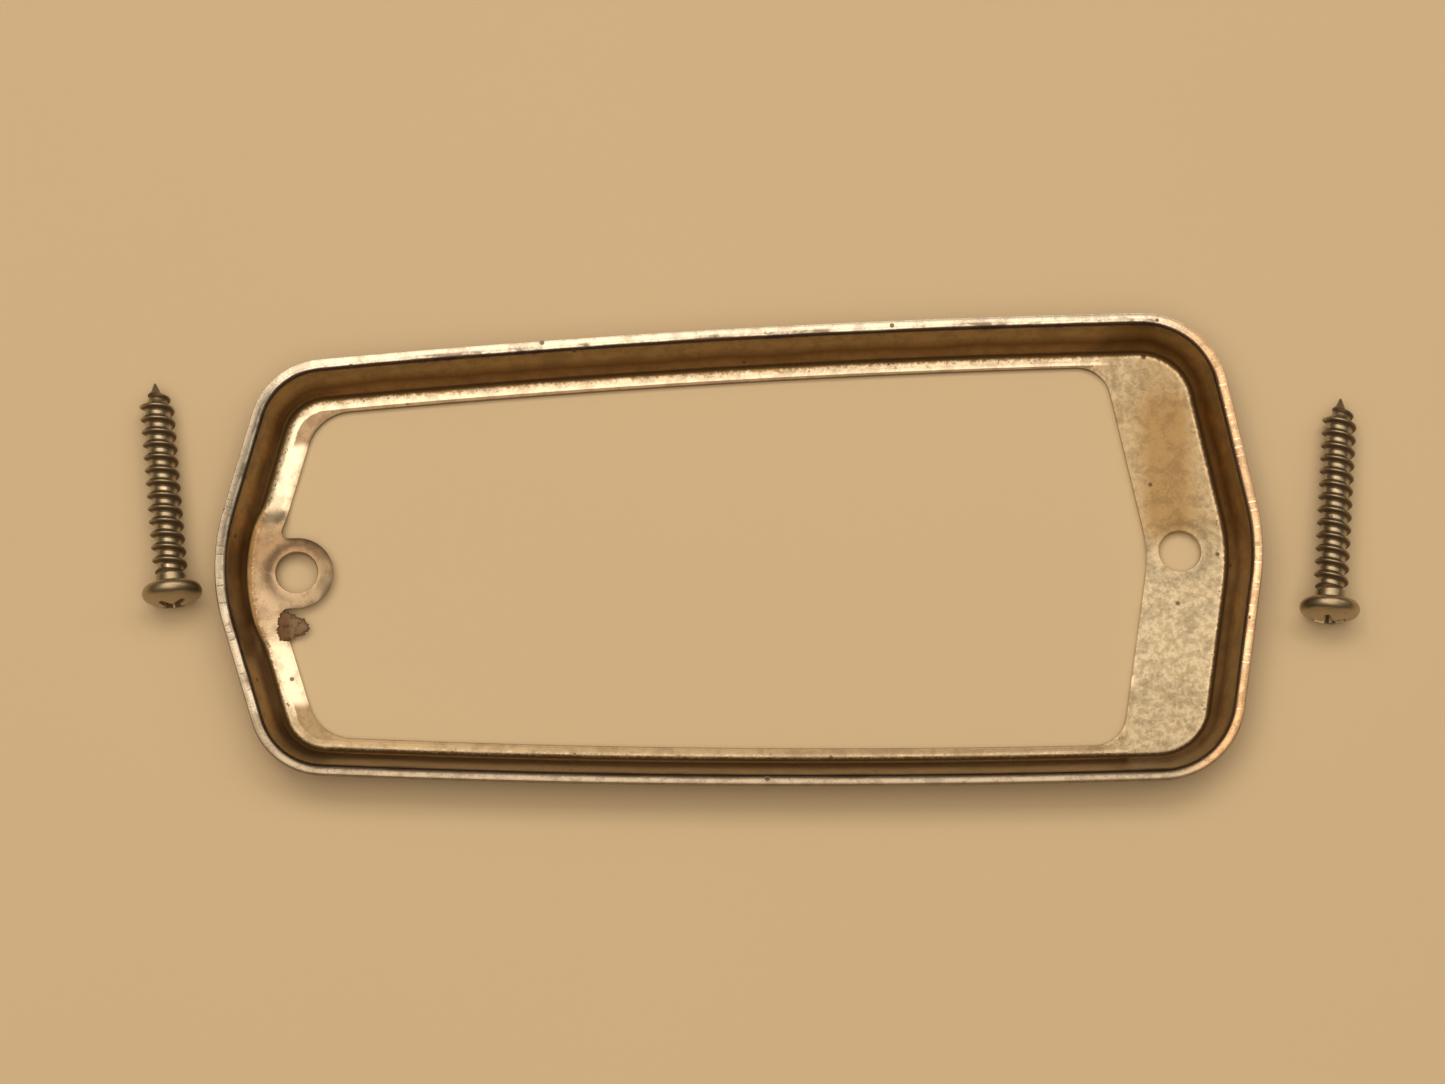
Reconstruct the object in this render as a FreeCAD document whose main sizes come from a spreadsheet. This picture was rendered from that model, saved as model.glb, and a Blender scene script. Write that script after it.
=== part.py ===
import FreeCAD, Part
import math
import os

import Sketcher
from FreeCAD import Placement, Rotation, Vector

# A pressed metal trim bezel and its two tapping screws, in millimetres.
# The bezel lies on its flat front face at z = 0, with its open back up (+Z). X runs through both
# screw holes, and the origin is midway between them. The screws lie loose, one past each end.

DIMENSIONS = {
    # outline of the bezel, at the edge of its lip
    "plate_length": 121.7,
    "left_half_width": 24.7,
    "right_half_width": 27.8,
    "left_end_radius": 24.3,
    "right_end_radius": 25.7,
    "left_corner_radius": 8.7,
    "right_corner_radius": 9.9,
    "left_corner_setback": 12.7,
    "right_corner_setback": 12.9,
    "rail_radius": 1296.0,
    # pressed section: a lip, a leaning wall and a floor
    "sheet": 0.7,
    "depth": 5.9,
    "lip_slope": 15.0,
    "wall_lean": 25.4,
    "lip_bend_radius": 0.3,
    "foot_bend_radius": 1.5,
    "foot_inset": 4.45,
    # window in the floor
    "rail_floor": 5.0,
    "left_floor": 6.5,
    "right_floor": 13.0,
    "window_left_setback": 15.6,
    "window_right_setback": 20.2,
    "window_left_corner_radius": 5.4,
    "window_right_corner_radius": 4.0,
    "window_right_end_radius": 19.0,
    # screw holes, each in a raised dimple, and the tab that carries the left one
    "hole_setback": 9.05,
    "hole_radius": 2.5,
    "dimple_radius": 3.8,
    "dimple_rise": 0.6,
    "tab_radius": 4.25,
    "tab_rise": 0.7,
    "tab_ramp_start": 5.2,
    "tab_ramp_end": 8.6,
    # tapping screw with a pan head and a gimlet point
    "screw_length": 25.0,
    "head_radius": 3.5,
    "head_height": 2.6,
    "neck_radius": 1.75,
    "neck_length": 1.1,
    "core_radius": 1.4,
    "crest_radius": 2.05,
    "thread_pitch": 1.588,
    "point_length": 3.2,
    "crest_width": 0.15,
    "root_width": 1.1,
    "tip_radius": 0.15,
    "head_edge_radius": 0.9,
    "recess_span": 3.9,
    "recess_slot": 0.9,
    "recess_depth": 1.5,
    # where the loose screws lie
    "left_screw_gap": 1.9,
    "right_screw_gap": 4.3,
    "left_screw_turn": 5.3,
    "right_screw_turn": -6.9,
    "left_screw_shift": -1.5,
    "right_screw_shift": -7.0,
}

os.makedirs("parts", exist_ok=True)
document = FreeCAD.newDocument("trim_bezel")
ORIGIN, X_AXIS, UPRIGHT_AXIS = -1, -1, -2
START, END, CENTRE = 1, 2, 3
UP = Vector(0, 0, 1)
# thread ridges start a little inside the metal they stand on, and a loose screw lies just clear of z = 0
BITE, POINT_BITE, FLOOR_GAP = 0.95, 0.6, 0.01
# the least volume, in cubic millimetres, that a feature must add or take away
LEAST_CHANGE = 1e-6


# ---------------------------------------------------------------- sheet and binding

def make_sheet():
    """The spreadsheet that holds every driving dimension under its own name."""
    sheet = document.addObject("Spreadsheet::Sheet", "Dimensions")
    for row, (name, value) in enumerate(DIMENSIONS.items(), start=1):
        sheet.set(f"A{row}", name)
        sheet.set(f"B{row}", str(value))
        sheet.setAlias(f"B{row}", name)
    document.recompute()
    return sheet


SHEET = make_sheet()


def size(name):
    """The present value of one driving dimension."""
    return float(getattr(SHEET, name))


def expression(text):
    """The text of a formula with each dimension's name pointed at the sheet."""
    words = text.replace("(", "( ").replace(")", " )").split()
    return " ".join(f"Dimensions.{word}" if word in DIMENSIONS else word for word in words)


def bind(item, **formulas):
    """Bind properties of a feature to formulas in the sheet's dimensions."""
    for name, formula in formulas.items():
        item.setExpression(name, expression(formula))


# ---------------------------------------------------------------- sketching

def plane(body, role):
    """One of the body's own origin planes."""
    return next(item for item in body.Origin.OriginFeatures if item.Role == role)


class Drawing:
    """A sketch on one of its body's origin planes, with each size bound to the sheet."""

    def __init__(self, body, name, role="XY_Plane", lift=None):
        self.sketch = body.newObject("Sketcher::SketchObject", name)
        self.sketch.AttachmentSupport = [(plane(body, role), "")]
        self.sketch.MapMode = "FlatFace"
        self.count = 0
        if lift:
            self.sketch.setExpression(".AttachmentOffset.Base.z", expression(lift))

    def fix(self, kind, *where, formula=None):
        """Add a constraint, and bind it when it has a size."""
        index = self.sketch.addConstraint(Sketcher.Constraint(kind, *where))
        if formula:
            self.count += 1
            name = f"size_{self.count}"
            self.sketch.renameConstraint(index, name)
            self.sketch.setExpression(f"Constraints.{name}", expression(formula))

    def put(self, edge, end, right=None, left=None, above=None, below=None):
        """Place a point of an edge at bound distances from the origin."""
        point = self.point(edge, end)
        if right:
            self.fix("DistanceX", ORIGIN, START, edge, end, point.x, formula=right)
        if left:
            self.fix("DistanceX", edge, end, ORIGIN, START, -point.x, formula=left)
        if above:
            self.fix("DistanceY", ORIGIN, START, edge, end, point.y, formula=above)
        if below:
            self.fix("DistanceY", edge, end, ORIGIN, START, -point.y, formula=below)

    def point(self, edge, end):
        """A start, end or centre point of an edge."""
        shape = self.sketch.Geometry[edge]
        if end == CENTRE:
            return shape.Center
        return shape.StartPoint if end == START else shape.EndPoint

    def radius(self, edge, formula):
        """Bind the radius of an arc or a circle."""
        self.fix("Radius", edge, self.sketch.Geometry[edge].Radius, formula=formula)

    def on_axis(self, edge, end=CENTRE):
        """Keep a point on the sketch's horizontal axis."""
        self.fix("PointOnObject", edge, end, X_AXIS)

    def circle(self, x, radius, helper=False):
        """A circle centred on the horizontal axis."""
        edge = self.sketch.addGeometry(Part.Circle(Vector(x, 0, 0), UP, radius), helper)
        self.on_axis(edge)
        return edge

    def loop(self, steps):
        """A closed run of edges. Each step is (edge, walked backwards, smooth to the next one)."""
        edges = [self.sketch.addGeometry(step[0], False) for step in steps]
        for i, (_, backwards, smooth) in enumerate(steps):
            j = (i + 1) % len(steps)
            leaving = START if backwards else END
            entering = END if steps[j][1] else START
            kind = "Tangent" if smooth else "Coincident"
            self.fix(kind, edges[i], leaving, edges[j], entering)
        return edges

    def mirror_arcs(self, upper, lower):
        """Make a lower arc the mirror image of an upper one about the horizontal axis."""
        self.fix("Symmetric", upper, CENTRE, lower, CENTRE, X_AXIS)
        self.fix("Equal", upper, lower)


def arc(centre, radius, begin, finish):
    """An arc drawn anticlockwise from one angle to another, in radians."""
    return Part.ArcOfCircle(Part.Circle(Vector(*centre, 0), UP, radius), begin, finish)


def polar(centre, radius, angle):
    """A point at a distance and an angle from a centre."""
    return Vector(centre[0] + radius * math.cos(angle), centre[1] + radius * math.sin(angle), 0)


def tangent_angle(first, first_radius, second, second_radius):
    """The outward normal's angle on the line that touches two circles on their left-hand side."""
    dx, dy = second[0] - first[0], second[1] - first[1]
    return math.atan2(dy, dx) + math.acos((first_radius - second_radius) / math.hypot(dx, dy))


def rail_centre(first, first_radius, second, second_radius, radius):
    """The centre of a large arc that touches two circles inside it, both on its upper side."""
    dx, dy = second[0] - first[0], second[1] - first[1]
    span = math.hypot(dx, dy)
    near, far = radius - first_radius, radius - second_radius
    along = (near ** 2 - far ** 2 + span ** 2) / (2 * span)
    down = math.sqrt(near ** 2 - along ** 2)
    ux, uy = dx / span, dy / span
    return first[0] + ux * along + uy * down, first[1] + uy * along - ux * down


class Band:
    """The outline of a slack band round six circles: one at each end and one at each corner."""

    def __init__(self, left_end, left_corner, right_corner, right_end, rail_radius):
        self.left_end, self.right_end = left_end, right_end
        self.left_corner, self.right_corner = left_corner, right_corner
        self.rail_radius = rail_radius
        self.rail = rail_centre(*left_corner, *right_corner, rail_radius)
        self.left_normal = tangent_angle(*left_end, *left_corner)
        self.right_normal = tangent_angle(*right_corner, *right_end)
        self.left_rail = self.toward(left_corner[0])
        self.right_rail = self.toward(right_corner[0])

    def toward(self, point):
        """The angle from the rail's centre to a point."""
        return math.atan2(point[1] - self.rail[1], point[0] - self.rail[0])

    @staticmethod
    def below(point):
        """The mirror image of a point under the horizontal axis."""
        return point[0], -point[1]

    def upper(self):
        """Edges from the left end's line to the right end's line, walked left to right."""
        left, right = self.left_corner, self.right_corner
        return [
            Part.LineSegment(polar(*self.left_end, self.left_normal), polar(*left, self.left_normal)),
            arc(*left, self.left_rail, self.left_normal),
            arc(self.rail, self.rail_radius, self.right_rail, self.left_rail),
            arc(*right, self.right_normal, self.right_rail),
            Part.LineSegment(
                polar(*right, self.right_normal), polar(*self.right_end, self.right_normal)
            ),
        ]

    def lower(self):
        """The mirror image of the upper edges, walked right to left."""
        left, right = self.left_corner, self.right_corner
        left_low, right_low = (self.below(left[0]), left[1]), (self.below(right[0]), right[1])
        rail_low = self.below(self.rail)
        return [
            Part.LineSegment(
                polar(*self.right_end, -self.right_normal), polar(*right_low, -self.right_normal)
            ),
            arc(*right_low, -self.right_rail, -self.right_normal),
            arc(rail_low, self.rail_radius, -self.left_rail, -self.right_rail),
            arc(*left_low, -self.left_normal, -self.left_rail),
            Part.LineSegment(
                polar(*left_low, -self.left_normal), polar(*self.left_end, -self.left_normal)
            ),
        ]

    def steps(self, split_right_end=False):
        """The closed outline for a drawing, from the middle or the top of the right end."""
        low, high = -self.right_normal, self.right_normal
        if split_right_end:
            first = [arc(*self.right_end, low, 0)]
            last = [arc(*self.right_end, 0, high)]
        else:
            first = [arc(*self.right_end, low, high)]
            last = []
        left = arc(*self.left_end, self.left_normal, 2 * math.pi - self.left_normal)
        edges = first + self.lower() + [left] + self.upper() + last
        return [(edge, isinstance(edge, Part.ArcOfCircle), True) for edge in edges]


def draw_band(drawing, band, corners, ends, rail_formula, split_right_end=False):
    """Draw a band and bind its circles. corners and ends hold (x, y, radius) formulas."""
    edges = drawing.loop(band.steps(split_right_end))
    right_end, _, right_low, rail_low, left_low, _, left_end, _, left_high, rail_high, right_high = edges[:11]
    (left_x, left_y, left_radius), (right_x, right_y, right_radius) = corners
    (left_end_x, left_end_radius), (right_end_x, right_end_radius) = ends
    drawing.put(left_high, CENTRE, left=left_x, above=left_y)
    drawing.radius(left_high, left_radius)
    drawing.put(right_high, CENTRE, right=right_x, above=right_y)
    drawing.radius(right_high, right_radius)
    drawing.radius(rail_high, rail_formula)
    drawing.on_axis(left_end)
    drawing.put(left_end, CENTRE, left=left_end_x)
    drawing.radius(left_end, left_end_radius)
    drawing.on_axis(right_end)
    drawing.put(right_end, CENTRE, right=right_end_x)
    drawing.radius(right_end, right_end_radius)
    drawing.mirror_arcs(left_high, left_low)
    drawing.mirror_arcs(right_high, right_low)
    drawing.fix("Equal", rail_high, rail_low)
    if split_right_end:
        drawing.on_axis(edges[-1], START)
        drawing.fix("Equal", right_end, edges[-1])


# ---------------------------------------------------------------- features

def new_body(name):
    """A body, labelled with the name of its node."""
    body = document.addObject("PartDesign::Body", name)
    body.Label = name
    return body


def feature(body, kind, name, **settings):
    """A feature of a body with its plain settings."""
    item = body.newObject(f"PartDesign::{kind}", name)
    for key, value in settings.items():
        setattr(item, key, value)
    return item


def pad(body, name, drawing, length):
    """Raise a drawing by a bound height."""
    item = feature(body, "Pad", name, Profile=drawing.sketch)
    bind(item, Length=length)
    drawing.sketch.Visibility = False
    return item


def cut_through(body, name, drawing):
    """Cut a drawing right through the body, both ways."""
    return feature(body, "Pocket", name, Profile=drawing.sketch, Type="ThroughAll", Midplane=True)


def turn(body, name, drawing):
    """Spin a drawing once round the body's Z axis."""
    axis = next(item for item in body.Origin.OriginFeatures if item.Role == "Z_Axis")
    return feature(body, "Revolution", name, Profile=drawing.sketch, ReferenceAxis=(axis, [""]), Angle=360)


def checked(body, before, grows):
    """Stop if the last feature did not change the volume the way it should."""
    document.recompute()
    after = body.Shape.Volume
    if (after > before) != grows or abs(after - before) < LEAST_CHANGE:
        raise RuntimeError(f"{body.Tip.Label} changed the volume from {before:.3f} to {after:.3f}")
    return after


def polygon(points):
    """The closed run of straight edges through a list of points."""
    corners = [Vector(x, y, 0) for x, y in points]
    return [(Part.LineSegment(a, b), False, False) for a, b in zip(corners, corners[1:] + corners[:1])]


# ---------------------------------------------------------------- bezel

HALF = "plate_length / 2"
# how far up the floor's sheet the raised seat of the tab begins, and how far it bites into the wall
SEAT_START = 0.65
SEAT_BITE = 0.04
HOLE_X = f"{HALF} - hole_setback"
LEFT_END_X = f"{HALF} - left_end_radius"
TAB_TOP = "sheet + tab_rise"


def rim_band():
    """The outline of the lip's outer edge."""
    half = size("plate_length") / 2
    left, right = size("left_corner_radius"), size("right_corner_radius")
    left_end, right_end = size("left_end_radius"), size("right_end_radius")
    return Band(
        ((left_end - half, 0), left_end),
        ((size("left_corner_setback") - half, size("left_half_width") - left), left),
        ((half - size("right_corner_setback"), size("right_half_width") - right), right),
        ((half - right_end, 0), right_end),
        size("rail_radius"),
    )


def inset_band(inset):
    """The same outline moved inwards all round."""
    rim = rim_band()
    circles = rim.left_end, rim.left_corner, rim.right_corner, rim.right_end
    return Band(*((centre, radius - inset) for centre, radius in circles), rim.rail_radius - inset)


def window_band():
    """The outline of the window, without the tab."""
    half = size("plate_length") / 2
    left, right = size("window_left_corner_radius"), size("window_right_corner_radius")
    left_end, right_end = size("left_end_radius"), size("window_right_end_radius")
    floor = size("rail_floor")
    return Band(
        ((left_end - half, 0), left_end - size("left_floor")),
        ((size("window_left_setback") - half, size("left_half_width") - floor - left), left),
        ((half - size("window_right_setback"), size("right_half_width") - floor - right), right),
        ((half - size("right_floor") - right_end, 0), right_end),
        size("rail_radius") - floor,
    )


def draw_rim(drawing, inset="", split_right_end=False):
    """Draw the rim's outline, moved inwards by a bound amount if one is given."""
    minus = f" - {inset}" if inset else ""
    band = inset_band(size(inset)) if inset else rim_band()
    corners = tuple(
        (
            f"{HALF} - {side}_corner_setback",
            f"{side}_half_width - {side}_corner_radius",
            f"{side}_corner_radius{minus}",
        )
        for side in ("left", "right")
    )
    ends = tuple(
        (f"{HALF} - {side}_end_radius", f"{side}_end_radius{minus}") for side in ("left", "right")
    )
    draw_band(drawing, band, corners, ends, "rail_radius" + minus, split_right_end)


def draw_window(drawing):
    """Draw the window."""
    left_y = "left_half_width - rail_floor - window_left_corner_radius"
    right_y = "right_half_width - rail_floor - window_right_corner_radius"
    corners = (
        (f"{HALF} - window_left_setback", left_y, "window_left_corner_radius"),
        (f"{HALF} - window_right_setback", right_y, "window_right_corner_radius"),
    )
    right_x = f"{HALF} - right_floor - window_right_end_radius"
    ends = ((LEFT_END_X, "left_end_radius - left_floor"), (right_x, "window_right_end_radius"))
    draw_band(drawing, window_band(), corners, ends, "rail_radius - rail_floor")


def section_centres():
    """The centres of the section's two bends, as distance in from the lip's edge and height."""
    sheet, bend, foot = size("sheet"), size("lip_bend_radius"), size("foot_bend_radius")
    slope, lean = math.radians(size("lip_slope")), math.radians(size("wall_lean"))
    along_lip = Vector(math.cos(slope), -math.sin(slope), 0)
    under_lip = Vector(-math.sin(slope), -math.cos(slope), 0) * (bend + sheet)
    from_wall = Vector(math.cos(lean), math.sin(lean), 0)
    foot_centre = Vector(size("foot_inset"), sheet + foot, 0)
    corner = Vector(0, size("depth"), 0) + under_lip
    run = ((foot_centre - corner) * from_wall - (bend + sheet + foot)) / (along_lip * from_wall)
    return corner + along_lip * run, foot_centre


def draw_section(drawing):
    """Draw the pressed section at the right end: lip, bend, wall, bend and a strip of floor."""
    sheet, bend, foot = size("sheet"), size("lip_bend_radius"), size("foot_bend_radius")
    reach, depth = size("plate_length") / 2, size("depth")
    slope, lean = math.radians(size("lip_slope")), math.radians(size("wall_lean"))
    lip_centre, foot_centre = ((reach - point.x, point.y) for point in section_centres())
    lip_side, wall_side = math.pi / 2 + slope, math.pi - lean
    strip_end = reach - size("foot_inset") - sheet / 2
    tip = Vector(reach, depth, 0)
    under_tip = tip + Vector(math.sin(slope), -math.cos(slope), 0) * sheet
    wall_top, wall_foot = polar(lip_centre, bend + sheet, wall_side), polar(foot_centre, foot, -lean)
    front_foot, front_top = polar(foot_centre, foot + sheet, -lean), polar(lip_centre, bend, wall_side)
    strip_top, strip_foot = Vector(strip_end, sheet, 0), Vector(strip_end, 0, 0)
    run = [
        (Part.LineSegment(tip, polar(lip_centre, bend + sheet, lip_side)), False, True),
        (arc(lip_centre, bend + sheet, lip_side, wall_side), False, True),
        (Part.LineSegment(wall_top, wall_foot), False, True),
        (arc(foot_centre, foot, -math.pi / 2, -lean), True, True),
        (Part.LineSegment(Vector(foot_centre[0], sheet, 0), strip_top), False, False),
        (Part.LineSegment(strip_top, strip_foot), False, False),
        (Part.LineSegment(strip_foot, Vector(foot_centre[0], 0, 0)), False, True),
        (arc(foot_centre, foot + sheet, -math.pi / 2, -lean), False, True),
        (Part.LineSegment(front_foot, front_top), False, True),
        (arc(lip_centre, bend, lip_side, wall_side), True, True),
        (Part.LineSegment(polar(lip_centre, bend, lip_side), under_tip), False, False),
        (Part.LineSegment(under_tip, tip), False, False),
    ]
    edges = drawing.loop(run)
    lip, lip_bend, wall, foot_bend, floor, strip, front, front_bend, _, inner_bend, under, edge = edges
    drawing.fix("Coincident", lip_bend, CENTRE, inner_bend, CENTRE)
    drawing.fix("Coincident", foot_bend, CENTRE, front_bend, CENTRE)
    drawing.fix("Horizontal", floor)
    drawing.fix("Horizontal", front)
    drawing.fix("Vertical", strip)
    drawing.fix("Perpendicular", edge, lip)
    drawing.fix("Perpendicular", edge, under)
    drawing.on_axis(front, START)
    drawing.radius(lip_bend, "lip_bend_radius + sheet")
    drawing.radius(inner_bend, "lip_bend_radius")
    drawing.radius(foot_bend, "foot_bend_radius")
    drawing.radius(front_bend, "foot_bend_radius + sheet")
    drawing.fix("Angle", lip, slope - math.pi, formula="lip_slope - 180")
    drawing.fix("Angle", wall, -math.pi / 2 - lean, formula="-90 - wall_lean")
    drawing.put(lip, START, right=HALF, above="depth")
    drawing.put(foot_bend, CENTRE, right=f"{HALF} - foot_inset")
    drawing.put(strip, START, right=f"{HALF} - foot_inset - sheet / 2")


def draw_tab_seat(drawing):
    """Draw the ground plan of the raised floor round the tab, from inside the wall to the window."""
    rise, foot = size("tab_rise"), size("foot_bend_radius")
    centre = (size("left_end_radius") - size("plate_length") / 2, 0)
    buried = size("foot_inset") - math.sqrt(rise * (2 * foot - rise)) - SEAT_BITE
    radius = size("left_end_radius") - buried
    side, inside = size("tab_ramp_end"), -size("plate_length") / 2 + size("hole_setback")
    lift = math.asin(side / radius)
    high = polar(centre, radius, math.pi - lift)
    low = Vector(high.x, -high.y, 0)
    run = [
        (arc(centre, radius, math.pi - lift, math.pi + lift), False, False),
        (Part.LineSegment(low, Vector(inside, -side, 0)), False, False),
        (Part.LineSegment(Vector(inside, -side, 0), Vector(inside, side, 0)), False, False),
        (Part.LineSegment(Vector(inside, side, 0), high), False, False),
    ]
    curve, near, across, far = drawing.loop(run)
    buried_formula = f"foot_inset - sqrt( tab_rise * ( 2 * foot_bend_radius - tab_rise ) ) - {SEAT_BITE}"
    drawing.put(curve, CENTRE, left=LEFT_END_X)
    drawing.on_axis(curve)
    drawing.radius(curve, f"left_end_radius - ( {buried_formula} )")
    drawing.fix("Horizontal", near)
    drawing.fix("Vertical", across)
    drawing.fix("Horizontal", far)
    drawing.put(far, START, left=HOLE_X, above="tab_ramp_end")
    drawing.put(near, END, below="tab_ramp_end")


def draw_ramp_waste(drawing):
    """Draw the two wedges above the ramps, seen along X."""
    start, end, low = size("tab_ramp_start"), size("tab_ramp_end"), size("sheet")
    high = low + size("tab_rise")
    for side in (1, -1):
        wedge = drawing.loop(polygon([(side * start, high), (side * end, low), (side * end, high)]))
        reach = "right" if side > 0 else "left"
        drawing.put(wedge[0], START, above=TAB_TOP, **{reach: "tab_ramp_start"})
        drawing.put(wedge[1], START, above="sheet", **{reach: "tab_ramp_end"})
        drawing.put(wedge[2], START, above=TAB_TOP, **{reach: "tab_ramp_end"})


def draw_joggle(drawing):
    """Draw the recess that the raised floor leaves in the front face, seen along X."""
    start, end, rise = size("tab_ramp_start"), size("tab_ramp_end"), size("tab_rise")
    shape = drawing.loop(polygon([(-end, 0), (end, 0), (start, rise), (-start, rise)]))
    drawing.put(shape[0], START, left="tab_ramp_end")
    drawing.put(shape[1], START, right="tab_ramp_end")
    drawing.on_axis(shape[0], START)
    drawing.on_axis(shape[1], START)
    drawing.put(shape[2], START, right="tab_ramp_start", above="tab_rise")
    drawing.put(shape[3], START, left="tab_ramp_start", above="tab_rise")


def draw_tab(drawing):
    """Draw the tab: a half round nose on a straight neck that runs back over the floor."""
    x, radius = -size("plate_length") / 2 + size("hole_setback"), size("tab_radius")
    back = x - radius
    run = [
        (arc((x, 0), radius, -math.pi / 2, math.pi / 2), False, True),
        (Part.LineSegment(Vector(x, radius, 0), Vector(back, radius, 0)), False, False),
        (Part.LineSegment(Vector(back, radius, 0), Vector(back, -radius, 0)), False, False),
        (Part.LineSegment(Vector(back, -radius, 0), Vector(x, -radius, 0)), False, True),
    ]
    nose, top, end, low = drawing.loop(run)
    drawing.put(nose, CENTRE, left=HOLE_X)
    drawing.on_axis(nose)
    drawing.radius(nose, "tab_radius")
    drawing.fix("Horizontal", top)
    drawing.fix("Vertical", end)
    drawing.fix("Horizontal", low)
    drawing.put(end, START, left=f"{HOLE_X} + tab_radius")


def add_dimple(body, name, side, floor):
    """Raise the metal round one hole into a cone, hollow underneath."""
    place = {".Placement.Base.x": f"{side} * ( {HOLE_X} )"}
    cones = (("AdditiveCone", "Raise", f"{floor} + sheet"), ("SubtractiveCone", "Hollow", floor))
    for kind, word, height in cones:
        before = body.Shape.Volume
        cone = feature(body, kind, f"{name}{word}")
        bind(cone, Radius1="dimple_radius", Radius2="hole_radius", Height="dimple_rise")
        bind(cone, **place, **{".Placement.Base.z": height})
        checked(body, before, kind == "AdditiveCone")


def make_bezel():
    """The bezel, pressed from one sheet: lip, wall, floor, window, tab, dimples and holes."""
    body = new_body("bezel")
    seat = Drawing(body, "TabSeatPlan", lift=f"sheet * {SEAT_START}")
    draw_tab_seat(seat)
    pad(body, "TabSeat", seat, f"tab_rise + sheet * {1 - SEAT_START}")
    volume = checked(body, 0, True)
    ramps = Drawing(body, "RampWaste", "YZ_Plane")
    draw_ramp_waste(ramps)
    cut_through(body, "TabRamps", ramps)
    volume = checked(body, volume, False)

    path = Drawing(body, "RimPath")
    draw_rim(path, split_right_end=True)
    section = Drawing(body, "RimSection", "XZ_Plane")
    draw_section(section)
    document.recompute()
    sweep = {"Spine": path.sketch, "Mode": "Binormal", "Binormal": UP}
    feature(body, "AdditivePipe", "Rim", Profile=section.sketch, **sweep)
    volume = checked(body, volume, True)

    floor = Drawing(body, "FloorPlan")
    draw_rim(floor, "foot_inset")
    pad(body, "Floor", floor, "sheet")
    volume = checked(body, volume, True)
    window = Drawing(body, "WindowPlan")
    draw_window(window)
    cut_through(body, "Window", window)
    volume = checked(body, volume, False)

    joggle = Drawing(body, "JoggleEnd", "YZ_Plane", lift=f"-( {HALF} - foot_inset + sheet )")
    draw_joggle(joggle)
    recess = feature(body, "Pocket", "Joggle", Profile=joggle.sketch, Reversed=True)
    bind(recess, Length="foot_inset + left_floor")
    volume = checked(body, volume, False)

    tab = Drawing(body, "TabPlan", lift="tab_rise")
    draw_tab(tab)
    pad(body, "Tab", tab, "sheet")
    volume = checked(body, volume, True)
    add_dimple(body, "RightDimple", 1, "0")
    add_dimple(body, "LeftDimple", -1, "tab_rise")

    holes = Drawing(body, "ScrewHolePlan")
    for side, reach in ((1, "right"), (-1, "left")):
        hole = holes.circle(side * (size("plate_length") / 2 - size("hole_setback")), size("hole_radius"))
        holes.put(hole, CENTRE, **{reach: HOLE_X})
        holes.radius(hole, "hole_radius")
    volume = body.Shape.Volume
    cut_through(body, "ScrewHoles", holes)
    checked(body, volume, False)
    return body


# ---------------------------------------------------------------- tapping screws

POINT_RIDGES = ((0.35, 0.72), (0.80, 0.34))  # along the point, and the crest's share of its full radius


def draw_screw_profile(drawing):
    """Draw half of the screw's outline without its thread: point, core, neck, seat and head."""
    length, point, neck = size("screw_length"), size("point_length"), size("neck_length")
    core, neck_radius, tip = size("core_radius"), size("neck_radius"), size("tip_radius")
    edge, height = size("head_edge_radius"), size("head_height")
    inner = size("head_radius") - edge
    crown = (inner ** 2 + (height - edge) ** 2 - edge ** 2) / (2 * (height - 2 * edge))
    meet = math.atan2(edge - height + crown, inner)
    rim = polar((inner, edge), edge, meet)
    corners = [
        (0, -length), (tip, -length), (core, point - length), (core, -neck - core / 4),
        (neck_radius, -neck), (neck_radius, 0), (inner, 0),
    ]
    places = [Vector(x, y, 0) for x, y in corners]
    run = [(Part.LineSegment(a, b), False, False) for a, b in zip(places, places[1:])]
    run[-1] = (run[-1][0], False, True)
    run += [
        (arc((inner, edge), edge, -math.pi / 2, meet), False, True),
        (arc((0, height - crown), crown, meet, math.pi / 2), False, False),
        (Part.LineSegment(Vector(0, height, 0), places[0]), False, False),
    ]
    edges = drawing.loop(run)
    formulas = [
        ("tip_radius", "screw_length"), ("core_radius", "screw_length - point_length"),
        ("core_radius", "neck_length + core_radius / 4"), ("neck_radius", "neck_length"),
    ]
    for line, (right, below) in zip(edges[1:5], formulas):
        drawing.put(line, START, right=right, below=below)
    seat, rim_arc, crown_arc, middle = edges[5:]
    drawing.put(seat, START, right="neck_radius")
    drawing.on_axis(seat, START)
    drawing.fix("Horizontal", seat)
    drawing.fix("PointOnObject", middle, START, UPRIGHT_AXIS)
    drawing.fix("PointOnObject", middle, END, UPRIGHT_AXIS)
    drawing.fix("PointOnObject", crown_arc, CENTRE, UPRIGHT_AXIS)
    drawing.fix("Horizontal", edges[0])
    drawing.radius(rim_arc, "head_edge_radius")
    drawing.put(rim_arc, CENTRE, right="head_radius - head_edge_radius")
    drawing.put(middle, START, above="head_height")


def draw_ridge(drawing, depth, core, crest, formulas):
    """Draw the section of one thread ridge at a depth below the head."""
    root, land = size("root_width") / 2, size("crest_width") / 2
    shape = drawing.loop(polygon([
        (core, -depth - root), (crest, -depth - land), (crest, -depth + land), (core, -depth + root),
    ]))
    depth_text, core_text, crest_text = formulas
    drawing.put(shape[0], START, right=core_text, below=f"{depth_text} + root_width / 2")
    drawing.put(shape[1], START, right=crest_text, below=f"{depth_text} + crest_width / 2")
    drawing.put(shape[2], START, right=crest_text, below=f"{depth_text} - crest_width / 2")
    drawing.put(shape[3], START, right=core_text, below=f"{depth_text} - root_width / 2")


def thread_turns():
    """How many whole ridges fit between the neck and the point."""
    room = size("screw_length") - size("point_length") - size("neck_length") - size("thread_pitch")
    return int(room / size("thread_pitch")) + 1


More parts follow.
